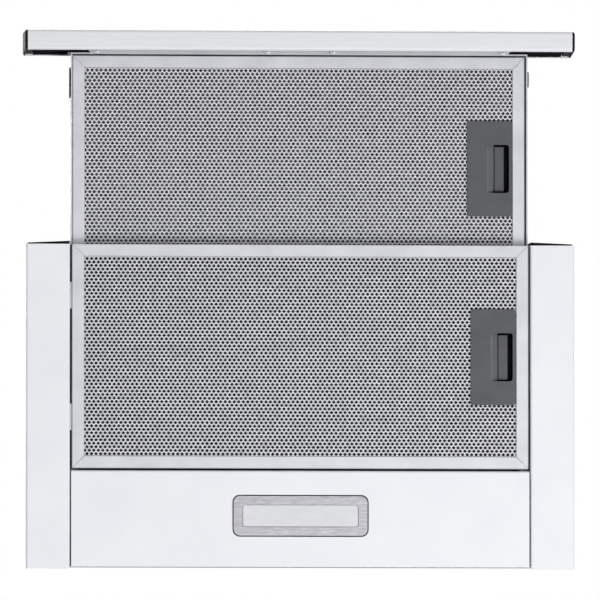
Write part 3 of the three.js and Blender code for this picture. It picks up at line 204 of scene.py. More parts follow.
# Each finish is one principled surface. Two colours are mixed by a noise whose grain is given in millimetres
# along x, y and z. The same noise varies the roughness, and a finer grain makes the bump.
def makeFinish(name, dark, light, grain, roughness, bumpGrain, bumpHeight, metallic=0.0, contrast=0.5,
               sockets=()):
    material = bpy.data.materials.new(name)
    material.use_nodes = True
    tree = material.node_tree
    tree.nodes.clear()
    place = addNode(tree, "ShaderNodeTexCoord")
    scaled = addNode(tree, "ShaderNodeMapping", values={"Scale": [1 / (g * mm) for g in grain]},
                     feeds={"Vector": place.outputs["Object"]})
    tone = addNode(tree, "ShaderNodeTexNoise", values={"Scale": 1.0, "Detail": 3.0, "Roughness": 0.55},
                   feeds={"Vector": scaled.outputs[0]})
    ramp = addNode(tree, "ShaderNodeValToRGB", feeds={"Fac": tone.outputs["Fac"]})
    ramp.color_ramp.elements[0].position = 0.5 - contrast / 2
    ramp.color_ramp.elements[1].position = 0.5 + contrast / 2
    ramp.color_ramp.elements[0].color = linear(dark)
    ramp.color_ramp.elements[1].color = linear(light)
    fineScaled = addNode(tree, "ShaderNodeMapping", values={"Scale": [1 / (g * mm) for g in bumpGrain]},
                         feeds={"Vector": place.outputs["Object"]})
    fine = addNode(tree, "ShaderNodeTexNoise", values={"Scale": 1.0, "Detail": 2.0},
                   feeds={"Vector": fineScaled.outputs[0]})
    bump = addNode(tree, "ShaderNodeBump", values={"Strength": 1.0, "Distance": bumpHeight * mm},
                   feeds={"Height": fine.outputs["Fac"]})
    gloss = addNode(tree, "ShaderNodeMapRange", values={"To Min": roughness[0], "To Max": roughness[1]},
                    feeds={"Value": tone.outputs["Fac"]})
    surface = addNode(tree, "ShaderNodeBsdfPrincipled", values={"Metallic": metallic, **dict(sockets)},
                      feeds={"Base Color": ramp.outputs[0], "Roughness": gloss.outputs[0],
                             "Normal": bump.outputs[0]})
    addNode(tree, "ShaderNodeOutputMaterial", feeds={"Surface": surface.outputs[0]})
    return material


# White powder coat on the visible steel: an even satin white with a faint orange peel.
powderCoat = makeFinish("whitePowderCoat", "eceef3", "f2f4f8", (60, 60, 60), (0.34, 0.42),
                        (1.6, 1.6, 1.6), 0.012)
# The drawer's bar has the same coat over rolled steel, whose long fine lines show through.
barCoat = makeFinish("rolledWhiteBar", "e4e5ea", "eff0f4", (70, 0.7, 0.7), (0.32, 0.4), (40, 0.5, 0.5), 0.006)
# The same coat inside, thinner and greyer, over galvanised sheet.
innerCoat = makeFinish("greyPrimedSteel", "c4c7cc", "d4d6da", (25, 25, 25), (0.4, 0.55),
                       (1.2, 1.2, 1.2), 0.01)
# The outer casing's coat: its own darker grey, further darkened as painted shade, which shows only as a thin
# edge from below.
caseCoatWithShade = makeFinish("greyCoatWithPaintedShade", "73767a", "7b7e82", (40, 40, 40), (0.4, 0.5),
                      (1.4, 1.4, 1.4), 0.012)
# Zinc-plated rolled steel: bright, with a mottled bloom.
zincPlate = makeFinish("zincPlatedSteel", "a9adb2", "d0d3d6", (6, 6, 6), (0.25, 0.45), (0.8, 0.8, 0.8), 0.006,
                       metallic=0.9)
# Black moulded polypropylene with a fine spark-eroded grain.
blackMoulding = makeFinish("blackMouldedPolypropylene", "060707", "0e0f10", (10, 10, 10), (0.66, 0.78),
                           (0.7, 0.7, 0.7), 0.02, sockets={"Specular IOR Level": 0.14})
# A darker copy of the same black: painted shade on the pieces that lie deep behind the latch.
trayShadeMoulding = makeFinish("paintedShadeBlackMoulding", "030303", "070707", (10, 10, 10), (0.7, 0.85),
                          (0.7, 0.7, 0.7), 0.02, sockets={"Specular IOR Level": 0.1})
# Dark grey moulded ABS of the finger latches, matt with a faint flow mottling.
greyMoulding = makeFinish("darkGreyMouldedAbs", "47494c", "515357", (14, 14, 14), (0.42, 0.55),
                          (0.6, 0.6, 0.6), 0.012)
# The latches' sloped grip: paler than the plate as painted light on the slope that faces the key lamp, and
# smoother.
litGripMoulding = makeFinish("greyAbsWithPaintedLight", "63656a", "707277", (14, 14, 14), (0.3, 0.4),
                          (0.6, 0.6, 0.6), 0.012)
# White moulded ABS of the buttons and the parts inside: a warm white with a fine grain.
whiteMoulding = makeFinish("whiteMouldedAbs", "dcdcd8", "e8e8e4", (15, 15, 15), (0.35, 0.5),
                           (0.7, 0.7, 0.7), 0.01)
# Bare rolled aluminium of the filter frames: satin, with faint roll lines.
rolledAluminium = makeFinish("rolledAluminium", "c3c4c9", "d1d2d7", (26, 26, 26), (0.42, 0.48),
                             (9, 0.5, 0.5), 0.004, metallic=0.55)
# Expanded aluminium strands, etched bright, so that they stand out from the dark layers behind.
strandAluminium = makeFinish("etchedExpandedAluminium", "cecfd4", "f9f9fc", (3, 3, 3), (0.35, 0.55),
                             (0.5, 0.5, 0.5), 0.01, metallic=0.35)
# The mesh layers deeper in the pack: nearly black as painted shade, mottled as coarse as their strands are.
shadedInnerAluminium = makeFinish("innerMeshInPaintedShade", "010101", "404145", (3.4, 3.4, 3.4), (0.5, 0.7),
                           (0.5, 0.5, 0.5), 0.01, metallic=0.3, contrast=0.34)
# The front filter's inner layers, which lie nearer to its sheet: a paler copy of the same finish, painted
# light.
litInnerAluminium = makeFinish("innerMeshWithPaintedLight", "0e0e0f", "707176", (4.2, 4.2, 4.2), (0.5, 0.7),
                                (0.5, 0.5, 0.5), 0.01, metallic=0.3, contrast=0.4)
# Stainless steel of the lamp's frame, brushed along its length.
brushedSteel = makeFinish("brushedStainlessSteel", "98979d", "c9c8ce", (9, 0.8, 0.8), (0.34, 0.46),
                          (14, 0.35, 0.35), 0.006, metallic=0.6)
# Opal acrylic of the lamp's lens, with the lamp off: milky, smooth and almost even.
opalAcrylic = makeFinish("opalAcrylic", "dadbdf", "e4e5e9", (18, 9, 9), (0.2, 0.3), (3, 3, 3), 0.004)
# Green solder lacquer over the lamp's glass fibre board.
boardLacquer = makeFinish("lacquerOnFibreglass", "23583a", "2f6b45", (4, 4, 4), (0.3, 0.45),
                          (0.5, 0.5, 0.5), 0.01)
print("finishes ready")

# The finish of every node, also of those that a finished piece stands for below.
finishOf = {
    powderCoat: ["side_panel_left", "side_panel_right", "rear_panel"],
    barCoat: ["front_bar"],
    innerCoat: ["rail_bracket_left", "rail_bracket_right", "drawer_shell", "drawer_cross_bar"],
    caseCoatWithShade: ["lower_case", "upper_case"],
    zincPlate: ["outer_rail_left", "outer_rail_right", "inner_rail_left", "inner_rail_right",
                "ball_cage_left", "ball_cage_right", "motor_left", "motor_right", "motor_shaft_left",
                "motor_shaft_right", "flap_pin", "cabinet_bracket_left", "cabinet_bracket_right"],
    blackMoulding: ["front_trim_left", "front_trim_right", "bar_carrier", "switch_block", "end_cap_left",
                    "end_cap_right", "cable_gland", "scroll_housing", "scroll_cover", "impeller_left",
                    "impeller_right", "outlet_collar", "drawer_switch", "drawer_glide_left",
                    "drawer_glide_right"],
    greyMoulding: ["front_latch_plate", "front_latch_slider", "rear_latch_plate", "rear_latch_slider"],
    whiteMoulding: ["lamp_housing", "push_button_1", "push_button_2", "push_button_3", "push_button_4",
                    "flap_left", "flap_right", "capacitor", "control_box", "control_box_lid",
                    "switch_plunger"],
    rolledAluminium: ["front_filter_frame", "rear_filter_frame"],
    shadedInnerAluminium: ["front_filter_mesh", "rear_filter_mesh"],
    brushedSteel: ["lamp_bezel"],
    opalAcrylic: ["lamp_lens"],
    boardLacquer: ["led_board"],
}
materialOf = {name: material for material, names in finishOf.items() for name in names}
for material, names in finishOf.items():
    for name in names:
        nodes[name].data.materials.clear()
        nodes[name].data.materials.append(material)


def deselectAll():
    bpy.ops.object.select_all(action="DESELECT")


def activate(piece):
    deselectAll()
    piece.select_set(True)
    bpy.context.view_layer.objects.active = piece


# Selects the faces of the piece in edit mode whose middles pass the test.
def pickFaces(piece, test):
    bpy.ops.mesh.select_mode(type="FACE")
    bpy.ops.mesh.select_all(action="DESELECT")
    shape = bmesh.from_edit_mesh(piece.data)
    for face in shape.faces:
        face.select = test(face.calc_center_median(), face.normal)
    shape.select_flush_mode()
    bmesh.update_edit_mesh(piece.data)


def applyModifier(piece, kind, **settings):
    activate(piece)
    modifier = piece.modifiers.new(kind.lower(), kind)
    for name, value in settings.items():
        setattr(modifier, name, value)
    bpy.ops.object.modifier_apply(modifier=modifier.name)


# Joins another solid to the piece, or cuts it away or down to it, and removes the other.
def useUp(piece, operation, other):
    applyModifier(piece, "BOOLEAN", operation=operation, object=other, solver="EXACT")
    bpy.data.objects.remove(other)


# Keeps what lies between two corners.
def keepWithin(piece, low, high):
    bpy.ops.mesh.primitive_cube_add(size=1, location=(low + high) / 2)
    block = bpy.context.active_object
    block.scale = high - low
    useUp(piece, "INTERSECT", block)


def copyOf(piece, name):
    twin = piece.copy()
    twin.data = piece.data.copy()
    twin.name = name
    bpy.context.scene.collection.objects.link(twin)
    return twin


# Puts a finished piece on its body, with its place in its mesh.
def finishPiece(piece, name, material, body, replaced=()):
    activate(piece)
    bpy.ops.object.transform_apply(location=True, rotation=True, scale=True)
    piece.name = name
    piece.data.materials.clear()
    piece.data.materials.append(material)
    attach(piece, body)
    if replaced:
        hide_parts(*replaced)


# How a copy of a CAD node is merged and its edges are finished.
edges = {
    "weld": 0.002 * mm,
    "flat": math.radians(0.5),  # faces that differ by less are joined
    "sharp": math.radians(32),  # edges that turn by more are broken
    "smooth": math.radians(35),  # edges that turn by less are shaded smooth
    "segments": 2,
}


# A copy of a CAD node, its loose triangles merged and its flat faces joined, ready to be shaped further.
def mergedCopy(name, pieceName):
    piece = copyOf(nodes[name], pieceName)
    piece.parent = None
    piece.hide_render = piece.hide_viewport = False
    activate(piece)
    bpy.ops.mesh.customdata_custom_splitnormals_clear()
    bpy.ops.object.mode_set(mode="EDIT")
    bpy.ops.mesh.select_all(action="SELECT")
    bpy.ops.mesh.remove_doubles(threshold=edges["weld"])
    bpy.ops.mesh.dissolve_limited(angle_limit=edges["flat"])
    bpy.ops.object.mode_set(mode="OBJECT")
    return piece


# Breaks the sharp edges of a merged copy and puts it in its node's place.
def finishCopy(piece, name, edge, material=None):
    applyModifier(piece, "BEVEL", width=edge, segments=edges["segments"], limit_method="ANGLE",
                  angle_limit=edges["sharp"], miter_outer="MITER_ARC")
    activate(piece)
    bpy.ops.object.shade_smooth_by_angle(angle=edges["smooth"])
    applyModifier(piece, "WEIGHTED_NORMAL", keep_sharp=True)
    finishPiece(piece, piece.name, material or materialOf[name], bodyOf[name], [name])


# Sheet, moulded and rolled pieces with their edges broken: the name of each finished piece, the node it
# stands for and the width of its broken edge in millimetres.
brokenEdges = {
    "left_panel_sheet": ("side_panel_left", 0.22),
    "right_panel_sheet": ("side_panel_right", 0.22),
    "lamp_panel_sheet": ("rear_panel", 0.22),
    "bar_sheet": ("front_bar", 0.25),
    "left_bumper": ("front_trim_left", 0.35),
    "right_bumper": ("front_trim_right", 0.35),
    "left_cap_moulding": ("end_cap_left", 0.3),
    "right_cap_moulding": ("end_cap_right", 0.3),
    "left_glide_pad": ("drawer_glide_left", 0.25),
    "right_glide_pad": ("drawer_glide_right", 0.25),
    "lamp_frame_sheet": ("lamp_bezel", 0.3),
    "lamp_lens_moulding": ("lamp_lens", 0.5),
    "button_1_cap": ("push_button_1", 0.45),
    "button_2_cap": ("push_button_2", 0.45),
    "button_3_cap": ("push_button_3", 0.45),
    "button_4_cap": ("push_button_4", 0.45),
    "left_bracket_strip": ("cabinet_bracket_left", 0.25),
    "right_bracket_strip": ("cabinet_bracket_right", 0.25),
    "upper_case_sheet": ("upper_case", 0.5),
    "lower_case_sheet": ("lower_case", 0.3),
    "drawer_sheet": ("drawer_shell", 0.25),
    "cross_bar_sheet": ("drawer_cross_bar", 0.25),
    "bar_carrier_moulding": ("bar_carrier", 0.3),
    "left_outer_rail_channel": ("outer_rail_left", 0.2),
    "right_outer_rail_channel": ("outer_rail_right", 0.2),
    "left_inner_rail_channel": ("inner_rail_left", 0.2),
    "right_inner_rail_channel": ("inner_rail_right", 0.2),
    "left_rail_angle": ("rail_bracket_left", 0.25),
    "right_rail_angle": ("rail_bracket_right", 0.25),
    "left_flap_disc": ("flap_left", 0.2),
    "right_flap_disc": ("flap_right", 0.2),
}
for pieceName, (name, edge) in brokenEdges.items():
    finishCopy(mergedCopy(name, pieceName), name, edge * mm)
print("edges broken on", len(brokenEdges), "pieces")


# The open joints at the filter frames' corners.
mitre = {
    "border": 11 * mm,  # the frame's width
    "joint": 0.85 * mm,  # across the open joint at the face
    "overrun": 1.5 * mm,  # how much longer the cut is than the corner
    "edge": 0.22 * mm,
}


# The frame is four rolled lengths that meet at 45 degrees: a V cut along each corner draws the joint.
def makeFilterFrame(prefix):
    name = prefix + "_filter_frame"
    piece = mergedCopy(name, prefix + "_frame_profile")
    low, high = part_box(name)
    meshLow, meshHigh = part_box(prefix + "_filter_mesh")
    left = meshLow.x - (high.x - meshHigh.x)  # the frame's own left side, without its two tabs
    length = math.hypot(mitre["border"], mitre["border"]) + mitre["overrun"]
    depth = mitre["joint"] / math.sqrt(2)
    for x, alongX in ((left, 1), (high.x, -1)):
        for y, alongY in ((low.y, 1), (high.y, -1)):
            middle = (x + alongX * mitre["border"] / 2, y + alongY * mitre["border"] / 2, low.z)
            bpy.ops.mesh.primitive_cube_add(size=1, location=middle)
            blade = bpy.context.active_object
            blade.scale = (length, depth, depth)
            blade.rotation_euler = (math.pi / 4, 0, math.atan2(alongY, alongX))
            useUp(piece, "DIFFERENCE", blade)
    finishCopy(piece, name, mitre["edge"])


makeFilterFrame("front")
makeFilterFrame("rear")
print("filter frames mitred")


# The expanded aluminium sheet of the filters.
strand = {
    "pitch": 4.1 * mm,  # from hole to hole along a row
    "rowPitch": 3.15 * mm,
    "holeFlat": 1.1 * mm,  # the hole's flat top and bottom
    "holeWidth": 3.35 * mm,
    "holeHeight": 2.75 * mm,
    "crown": 0.65 * mm,  # how far a strand's middle stands out
    "crownWidth": 0.5,  # share of the strand's width
    "bondGap": 0.10 * mm,  # the crease where two strands meet
    "depth": 0.35 * mm,  # behind the frame's front flange
    "touch": 0.01 * mm,  # ends of the repeated strands that lie closer are merged
}

# What lies within a filter's frame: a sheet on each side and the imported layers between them.
filterPack = {
    "border": 11 * mm,  # the frame's width
    "meshInset": 1.3 * mm,  # of the pack's edge within the frame's
    "tuck": 1.5 * mm,  # a sheet reaches this far behind the frame's flange
    "trayHalf": 25 * mm,  # half the width of the gap left for the latch's tray
    "trayInset": 1.6 * mm,  # of the gap's left end from the latch plate's
    "trayReach": 5 * mm,
    "coreDepth": 2.6 * mm,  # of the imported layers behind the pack's face
    "upperGap": 0.6 * mm,  # between them and the upper sheet
    "coreFaces": (150, 72),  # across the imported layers, along x and y
    "crumple": 0.5 * mm,
    "crumpleSeed": 7,
}


# One period of a strand, from which the whole sheet is repeated. It runs along x.
def makeStrandPeriod():
    pitch, rise = strand["pitch"], strand["rowPitch"]
    width = rise - strand["holeHeight"] / 2 - strand["bondGap"] / 2
    low, high = rise / 2 - width / 2 - strand["bondGap"] / 2, -(rise / 2 - width / 2 - strand["bondGap"] / 2)
    bpy.ops.mesh.primitive_plane_add(size=1, location=(0, 0, 0), rotation=(0, math.pi / 2, 0))
    piece = bpy.context.active_object
    activate(piece)
    bpy.ops.object.transform_apply(location=True, rotation=True, scale=True)
    shape = bmesh.new()
    shape.from_mesh(piece.data)
    for corner in shape.verts:
        front = corner.co.z < 0
        share = strand["crownWidth"] if front else 1.0
        corner.co.y = math.copysign(width / 2 * share, corner.co.y) + low
        corner.co.z = -strand["crown"] if front else 0.0
        corner.co.x = -strand["holeFlat"] / 2
    shape.to_mesh(piece.data)
    shape.free()
    bond = pitch - strand["holeWidth"]
    slope = (pitch - strand["holeFlat"] - bond) / 2
    steps = [(strand["holeFlat"], 0), (slope, high - low), (bond, 0), (slope, low - high)]
    bpy.ops.object.mode_set(mode="EDIT")
    bpy.ops.mesh.select_all(action="SELECT")
    for along, across in steps:
        bpy.ops.mesh.extrude_region_move(TRANSFORM_OT_translate={"value": (along, across, 0)})
    ends = -strand["holeFlat"] / 2, pitch - strand["holeFlat"] / 2
    pickFaces(piece, lambda centre, normal: min(abs(centre.x - end) for end in ends) < 0.001 * mm)
    bpy.ops.mesh.delete(type="FACE")
    bpy.ops.object.mode_set(mode="OBJECT")
    return piece


# A sheet of strands between the corners x0, y0 and x1, y1, its strands' backs at height z.
def makeMeshSheet(period, x0, x1, y0, y1, z):
    pitch, rise = strand["pitch"], strand["rowPitch"]
    columns, rows = math.ceil((x1 - x0) / pitch) + 2, math.ceil((y1 - y0) / rise) + 1
    sheet = copyOf(period, "sheet")
    applyModifier(sheet, "ARRAY", count=columns, use_relative_offset=False, use_constant_offset=True,
                  constant_offset_displace=(pitch, 0, 0), use_merge_vertices=True,
                  merge_threshold=strand["touch"])
    other = copyOf(sheet, "otherRow")
    other.location = (pitch / 2, rise, 0)
    deselectAll()
    other.select_set(True)
    sheet.select_set(True)
    bpy.context.view_layer.objects.active = sheet
    bpy.ops.object.join()
    applyModifier(sheet, "ARRAY", count=math.ceil(rows / 2), use_relative_offset=False,
                  use_constant_offset=True, constant_offset_displace=(0, 2 * rise, 0))
    sheet.location = (x0 - pitch, (y0 + y1) / 2 - rise * (rows - 1) / 2, z)
    activate(sheet)
    bpy.ops.object.transform_apply(location=True, rotation=True, scale=True)
    return sheet


# Cuts what lies past a plane off the selected faces and closes the cut.
def trimSheet(piece, point, normal, test=None):
    activate(piece)
    bpy.ops.object.mode_set(mode="EDIT")
    pickFaces(piece, test or (lambda centre, facing: True))
    bpy.ops.mesh.bisect(plane_co=point, plane_no=normal, clear_outer=True, use_fill=True)
    bpy.ops.object.mode_set(mode="OBJECT")


def makeFilterMesh(prefix, body, coreMaterial, period):
    frameLow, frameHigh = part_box(prefix + "_filter_frame")
    meshLow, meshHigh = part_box(prefix + "_filter_mesh")
    plateLow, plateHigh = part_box(prefix + "_latch_plate")
    tuck, border, meshInset = filterPack["tuck"], filterPack["border"], filterPack["meshInset"]
    x0, x1 = meshLow.x + border - meshInset - tuck, meshHigh.x - border + meshInset + tuck
    y0, y1 = frameLow.y + border - tuck, frameHigh.y - border + tuck
    back = meshLow.z + strand["depth"] + strand["crown"]
    sheet = makeMeshSheet(period, x0, x1, y0, y1, back)
    for point, normal in (((x0, 0, 0), (-1, 0, 0)), ((x1, 0, 0), (1, 0, 0)),
                          ((0, y0, 0), (0, -1, 0)), ((0, y1, 0), (0, 1, 0))):
        trimSheet(sheet, point, normal)
    middle = (plateLow.y + plateHigh.y) / 2
    trayLeft = plateLow.x + filterPack["trayInset"]
    byTray = lambda centre, x: abs(centre.y - middle) < filterPack["trayHalf"] and centre.x > x
    trimSheet(sheet, (trayLeft, 0, 0), (1, 0, 0),
              lambda centre, normal: byTray(centre, trayLeft - filterPack["trayReach"]))
    finishPiece(sheet, prefix + "_mesh_sheet", strandAluminium, body, [prefix + "_filter_mesh"])
    print(prefix, "mesh sheet:", len(sheet.data.polygons), "faces")

    # The pack's other side has the same sheet, facing up.
    upper = copyOf(sheet, "upperSheet")
    activate(upper)
    bpy.ops.object.mode_set(mode="EDIT")
    bpy.ops.mesh.select_all(action="SELECT")
    bpy.ops.transform.mirror(constraint_axis=(False, False, True),
                             center_override=(0, 0, (meshLow.z + meshHigh.z) / 2))
    bpy.ops.mesh.flip_normals()
    bpy.ops.object.mode_set(mode="OBJECT")
    finishPiece(upper, prefix + "_mesh_upper_sheet", strandAluminium, body)

    foot = meshLow.z + filterPack["coreDepth"]
    top = meshHigh.z - strand["depth"] - strand["crown"] - filterPack["upperGap"]
    core = makeCore(x0, x1, y0, y1, foot, top, lambda centre, normal: byTray(centre, trayLeft))
    finishPiece(core, prefix + "_mesh_core", coreMaterial, body)


# The imported layers between the sheets: a crumpled slab that stops the eye, its dark finish painted shade,
# with a gap for the latch's tray.
def makeCore(x0, x1, y0, y1, z0, z1, isOpen):
    columns, rows = filterPack["coreFaces"]
    bpy.ops.mesh.primitive_grid_add(x_subdivisions=columns, y_subdivisions=rows, size=1, location=(0, 0, 0))
    piece = bpy.context.active_object
    piece.scale = (x1 - x0, y1 - y0, 1)
    piece.location = ((x0 + x1) / 2, (y0 + y1) / 2, z0)
    activate(piece)
    bpy.ops.object.transform_apply(location=True, rotation=True, scale=True)
    bpy.ops.object.mode_set(mode="EDIT")
    pickFaces(piece, isOpen)
    bpy.ops.mesh.delete(type="FACE")
    bpy.ops.mesh.select_all(action="SELECT")
    bpy.ops.transform.vertex_random(offset=filterPack["crumple"], seed=filterPack["crumpleSeed"])
    bpy.ops.object.mode_set(mode="OBJECT")
    applyModifier(piece, "SOLIDIFY", thickness=z1 - z0, offset=1.0)
    return piece


period = makeStrandPeriod()
# The inner layers are painted light in the front filter and painted shade in the rear one.
makeFilterMesh("front", "drawer", litInnerAluminium, period)
makeFilterMesh("rear", "rear_filter", shadedInnerAluminium, period)
bpy.data.objects.remove(period)


# The finger latches.
latch = {
    "sheet": 0.98 * mm,  # the plate's face
    "gap": 0.04 * mm,  # between two parts cut from one node
    "plateEdge": 0.3 * mm,
    "rampEnd": 16.2 * mm,  # the grip's slope ends before the plate's right edge
    "crease": 0.6 * mm,  # between the slope and the floor
    "pullEnd": 7.1 * mm,  # the floor ends and the tongue starts before the plate's right edge
    "floorShort": 2.0 * mm,  # the floor stops short at both ends
    "rampEdge": 0.35 * mm,
    "floorEdge": 0.5 * mm,
    "hiddenEdge": 0.1 * mm,
    "reach": Vector((60 * mm, 120 * mm, 30 * mm)),  # from the latch's middle to well past it
}


# A part of a CAD node, cut out between two corners.
def makeCut(name, pieceName, low, high, edge, material):
    piece = mergedCopy(name, pieceName)
    keepWithin(piece, low, high)
    finishCopy(piece, name, edge, material=material)


# A latch's face and finger pull are grey. The tray behind the face and the tongue beyond the pull are black
# as painted shade, which also shows through the crease and past the floor's ends.
def makeLatch(prefix):
    plate, slider = prefix + "_latch_plate", prefix + "_latch_slider"
    low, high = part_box(plate)
    pullLow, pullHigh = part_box(slider)
    below, above = (low + high) / 2 - latch["reach"], (low + high) / 2 + latch["reach"]
    faceTop = low.z + latch["sheet"]
    rampEnd, pullEnd = high.x - latch["rampEnd"], high.x - latch["pullEnd"]
    floorLow, floorHigh = pullLow.y + latch["floorShort"], pullHigh.y - latch["floorShort"]
    makeCut(plate, prefix + "_latch_face", below, Vector((above.x, above.y, faceTop)), latch["plateEdge"],
            greyMoulding)
    makeCut(plate, prefix + "_latch_tray", Vector((below.x, below.y, faceTop + latch["gap"])), above,
            latch["hiddenEdge"], trayShadeMoulding)
    makeCut(slider, prefix + "_latch_ramp", below, Vector((rampEnd, above.y, above.z)), latch["rampEdge"],
            litGripMoulding)
    makeCut(slider, prefix + "_latch_floor", Vector((rampEnd + latch["crease"], floorLow, below.z)),
            Vector((pullEnd, floorHigh, above.z)), latch["floorEdge"], greyMoulding)
    makeCut(slider, prefix + "_latch_tongue", Vector((pullEnd + latch["gap"], below.y, below.z)), above,
            latch["hiddenEdge"], trayShadeMoulding)


makeLatch("front")
makeLatch("rear")
print("latches made")


# Black strips in the gaps beside the filters, which paint the shade there, and buffers under the bar.
strips = {
    "gap": 0.3 * mm,  # above and below a strip
    "clear": 0.05 * mm,  # beside a strip or a buffer
    "gapStrip": (3.6 * mm, 1.4 * mm),  # width and height of the strips in the drawer's gaps
    "wallSheet": 1.2 * mm,  # of the drawer's sides
    "bodyStrip": 2.6 * mm,  # width of the strips at the body's opening
    "bodyShort": 0.5 * mm,  # they start this far behind the rear filter's front edge
    "bufferLip": 1.0 * mm,  # the bar's top edge shows this far past the buffer
    "buffer": (3.2 * mm, 0.3 * mm),  # thin enough to pass over the body's bumpers
    "bufferSpan": (208.5 * mm, 240.4 * mm),  # along the bar, on both sides
    "barTopSheet": 1.2 * mm,
    "edge": 0.3,  # share of the strip's height that each edge is rounded by
}


# A black strip between two corners, its long edges rounded.
def addStrip(name, body, low, high):
    bpy.ops.mesh.primitive_cube_add(size=1, location=[(a + b) / 2 for a, b in zip(low, high)])
    piece = bpy.context.active_object
    piece.scale = [b - a for a, b in zip(low, high)]
    activate(piece)
    bpy.ops.object.transform_apply(location=True, rotation=True, scale=True)
    applyModifier(piece, "BEVEL", width=strips["edge"] * (high[2] - low[2]), segments=2)
    finishPiece(piece, name, blackMoulding, body)


# The strips are painted shade: they fill the gaps beside the two filters with black. The buffers sit under
# the bar's top edge and meet the body when the drawer is in.
def placeStrips():
    drawerLow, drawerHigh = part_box("drawer_shell")
    frontLow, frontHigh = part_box("front_filter_frame")
    rearLow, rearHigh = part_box("rear_filter_frame")
    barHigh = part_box("front_bar")[1]
    width, height = strips["gapStrip"]
    bufferWidth, bufferHeight = strips["buffer"]
    bufferRear = barHigh.y - strips["bufferLip"]
    bufferTop = barHigh.z - strips["barTopSheet"] - strips["clear"]
    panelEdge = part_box("side_panel_right")[0].x
    for side, sign in (("left", -1), ("right", 1)):
        span = lambda near, far: sorted((sign * near, sign * far))
        inner = drawerHigh.x - strips["wallSheet"]
        x0, x1 = span(inner - width, inner)
        z = frontHigh.z + strips["gap"]
        addStrip(f"{side}_drawer_gap_shade", "drawer", (x0, frontLow.y + width, z),
                 (x1, frontHigh.y - width, z + height))
        x0, x1 = span(panelEdge - strips["bodyStrip"], panelEdge - strips["clear"])
        z0, z1 = rearHigh.z + strips["gap"], drawerLow.z - strips["gap"]
        addStrip(f"{side}_body_gap_shade", "housing", (x0, rearLow.y + strips["bodyShort"], z0),
                 (x1, rearHigh.y, z1))
        x0, x1 = span(*strips["bufferSpan"])
        addStrip(f"{side}_bar_buffer", "drawer", (x0, bufferRear - bufferWidth, bufferTop - bufferHeight),
                 (x1, bufferRear, bufferTop))


placeStrips()
print("strips placed")


# The thin black gasket around the lamp's frame.
gasket = {
    "grow": 0.8 * mm,  # past the lamp frame's outline
    "clear": 0.05 * mm,  # between it and the frame
    "stand": 0.14 * mm,  # below the panel
    "sheet": 0.13 * mm,
    "cut": 1 * mm,  # above and below it, for what cuts its middle out
}


# A copy of the lamp's frame, grown sideways and drawn out or flattened along z.
def grownBezel(grow, low, high):
    bezelLow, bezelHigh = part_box("lamp_bezel")
    piece = mergedCopy("lamp_bezel", "grownBezel")
    middle = (bezelLow + bezelHigh) / 2
    half = (bezelHigh - bezelLow) / 2
    factors = (1 + grow / half.x, 1 + grow / half.y, (high - low) / (2 * half.z))
    target = (middle.x, middle.y, (low + high) / 2)
    for corner in piece.data.vertices:
        where = piece.matrix_world @ corner.co
        moved = Vector([target[i] + (where[i] - middle[i]) * factors[i] for i in range(3)])
        corner.co = piece.matrix_world.inverted() @ moved
    return piece


def makeGasket():
    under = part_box("rear_panel")[0].z - gasket["stand"]
    ring = grownBezel(gasket["grow"], under, under + gasket["sheet"])
    core = grownBezel(gasket["clear"], under - gasket["cut"], under + gasket["cut"])
    useUp(ring, "DIFFERENCE", core)
    finishPiece(ring, "lamp_gasket", blackMoulding, "housing")


makeGasket()
print("gasket made")


# The screws under the bar, around the upper case's flange and over the motors.
screw = {
    "sides": 24,
    "headRadius": 3.7 * mm,
    "headHeight": 2.2 * mm,
    "headRound": 0.9 * mm,  # the rounding of the head's rim
    "roundSteps": 4,
    "shankRadius": 1.7 * mm,
    "shankLength": 3.8 * mm,
    "slotWidth": 0.75 * mm,
    "slotLength": 3.6 * mm,
    "slotDepth": 1.1 * mm,
    "smooth": math.radians(40),
    "firstTurn": 18,  # degrees that the first screw is turned by, and each one more than the last
    "nextTurn": 37,
    "barPlaces": (-184.5, -30.0, 30.0, 184.5),  # along the bar
    "barBehindWall": 11.2 * mm,  # of the front wall's front face
    "barSink": 0.1 * mm,  # of the head's seat below the drawer's flange
    "flangePlaces": ((-204.6, 48), (-204.6, 100), (-204.6, 190), (-204.6, 245), (-150, 17.4), (-50, 17.4),
                     (50, 17.4), (150, 17.4), (204.6, 48), (204.6, 100), (204.6, 190), (204.6, 245)),
    "flangeTop": 1.2 * mm,  # of the upper case's flange, over its foot
    "motorCircle": 32 * mm,  # of the screws that hold a motor under the top
    "motorAngles": (60, 180, 300),
}


# A pan-head screw with a cross recess, head down, its head's seat at the origin.
def makeScrew():
    bpy.ops.mesh.primitive_cylinder_add(vertices=screw["sides"], radius=screw["headRadius"],
                                        depth=screw["headHeight"], location=(0, 0, -screw["headHeight"] / 2))
    head = bpy.context.active_object
    activate(head)
    bpy.ops.object.transform_apply(location=True, rotation=True, scale=True)
    bpy.ops.object.mode_set(mode="EDIT")
    pickFaces(head, lambda centre, normal: normal.z < -0.9)
    bpy.ops.mesh.bevel(offset=screw["headRound"], segments=screw["roundSteps"], affect="EDGES")
    pickFaces(head, lambda centre, normal: normal.z > 0.9)
    bpy.ops.mesh.inset(thickness=screw["headRadius"] - screw["shankRadius"])
    bpy.ops.mesh.extrude_region_move(TRANSFORM_OT_translate={"value": (0, 0, screw["shankLength"])})
    bpy.ops.object.mode_set(mode="OBJECT")
    for turn in (0, math.pi / 2):
        bpy.ops.mesh.primitive_cube_add(size=1, location=(0, 0, -screw["headHeight"]), rotation=(0, 0, turn))
        blade = bpy.context.active_object
        blade.scale = (screw["slotLength"], screw["slotWidth"], 2 * screw["slotDepth"])
        useUp(head, "DIFFERENCE", blade)
    activate(head)
    bpy.ops.object.shade_smooth_by_angle(angle=screw["smooth"])
    return head


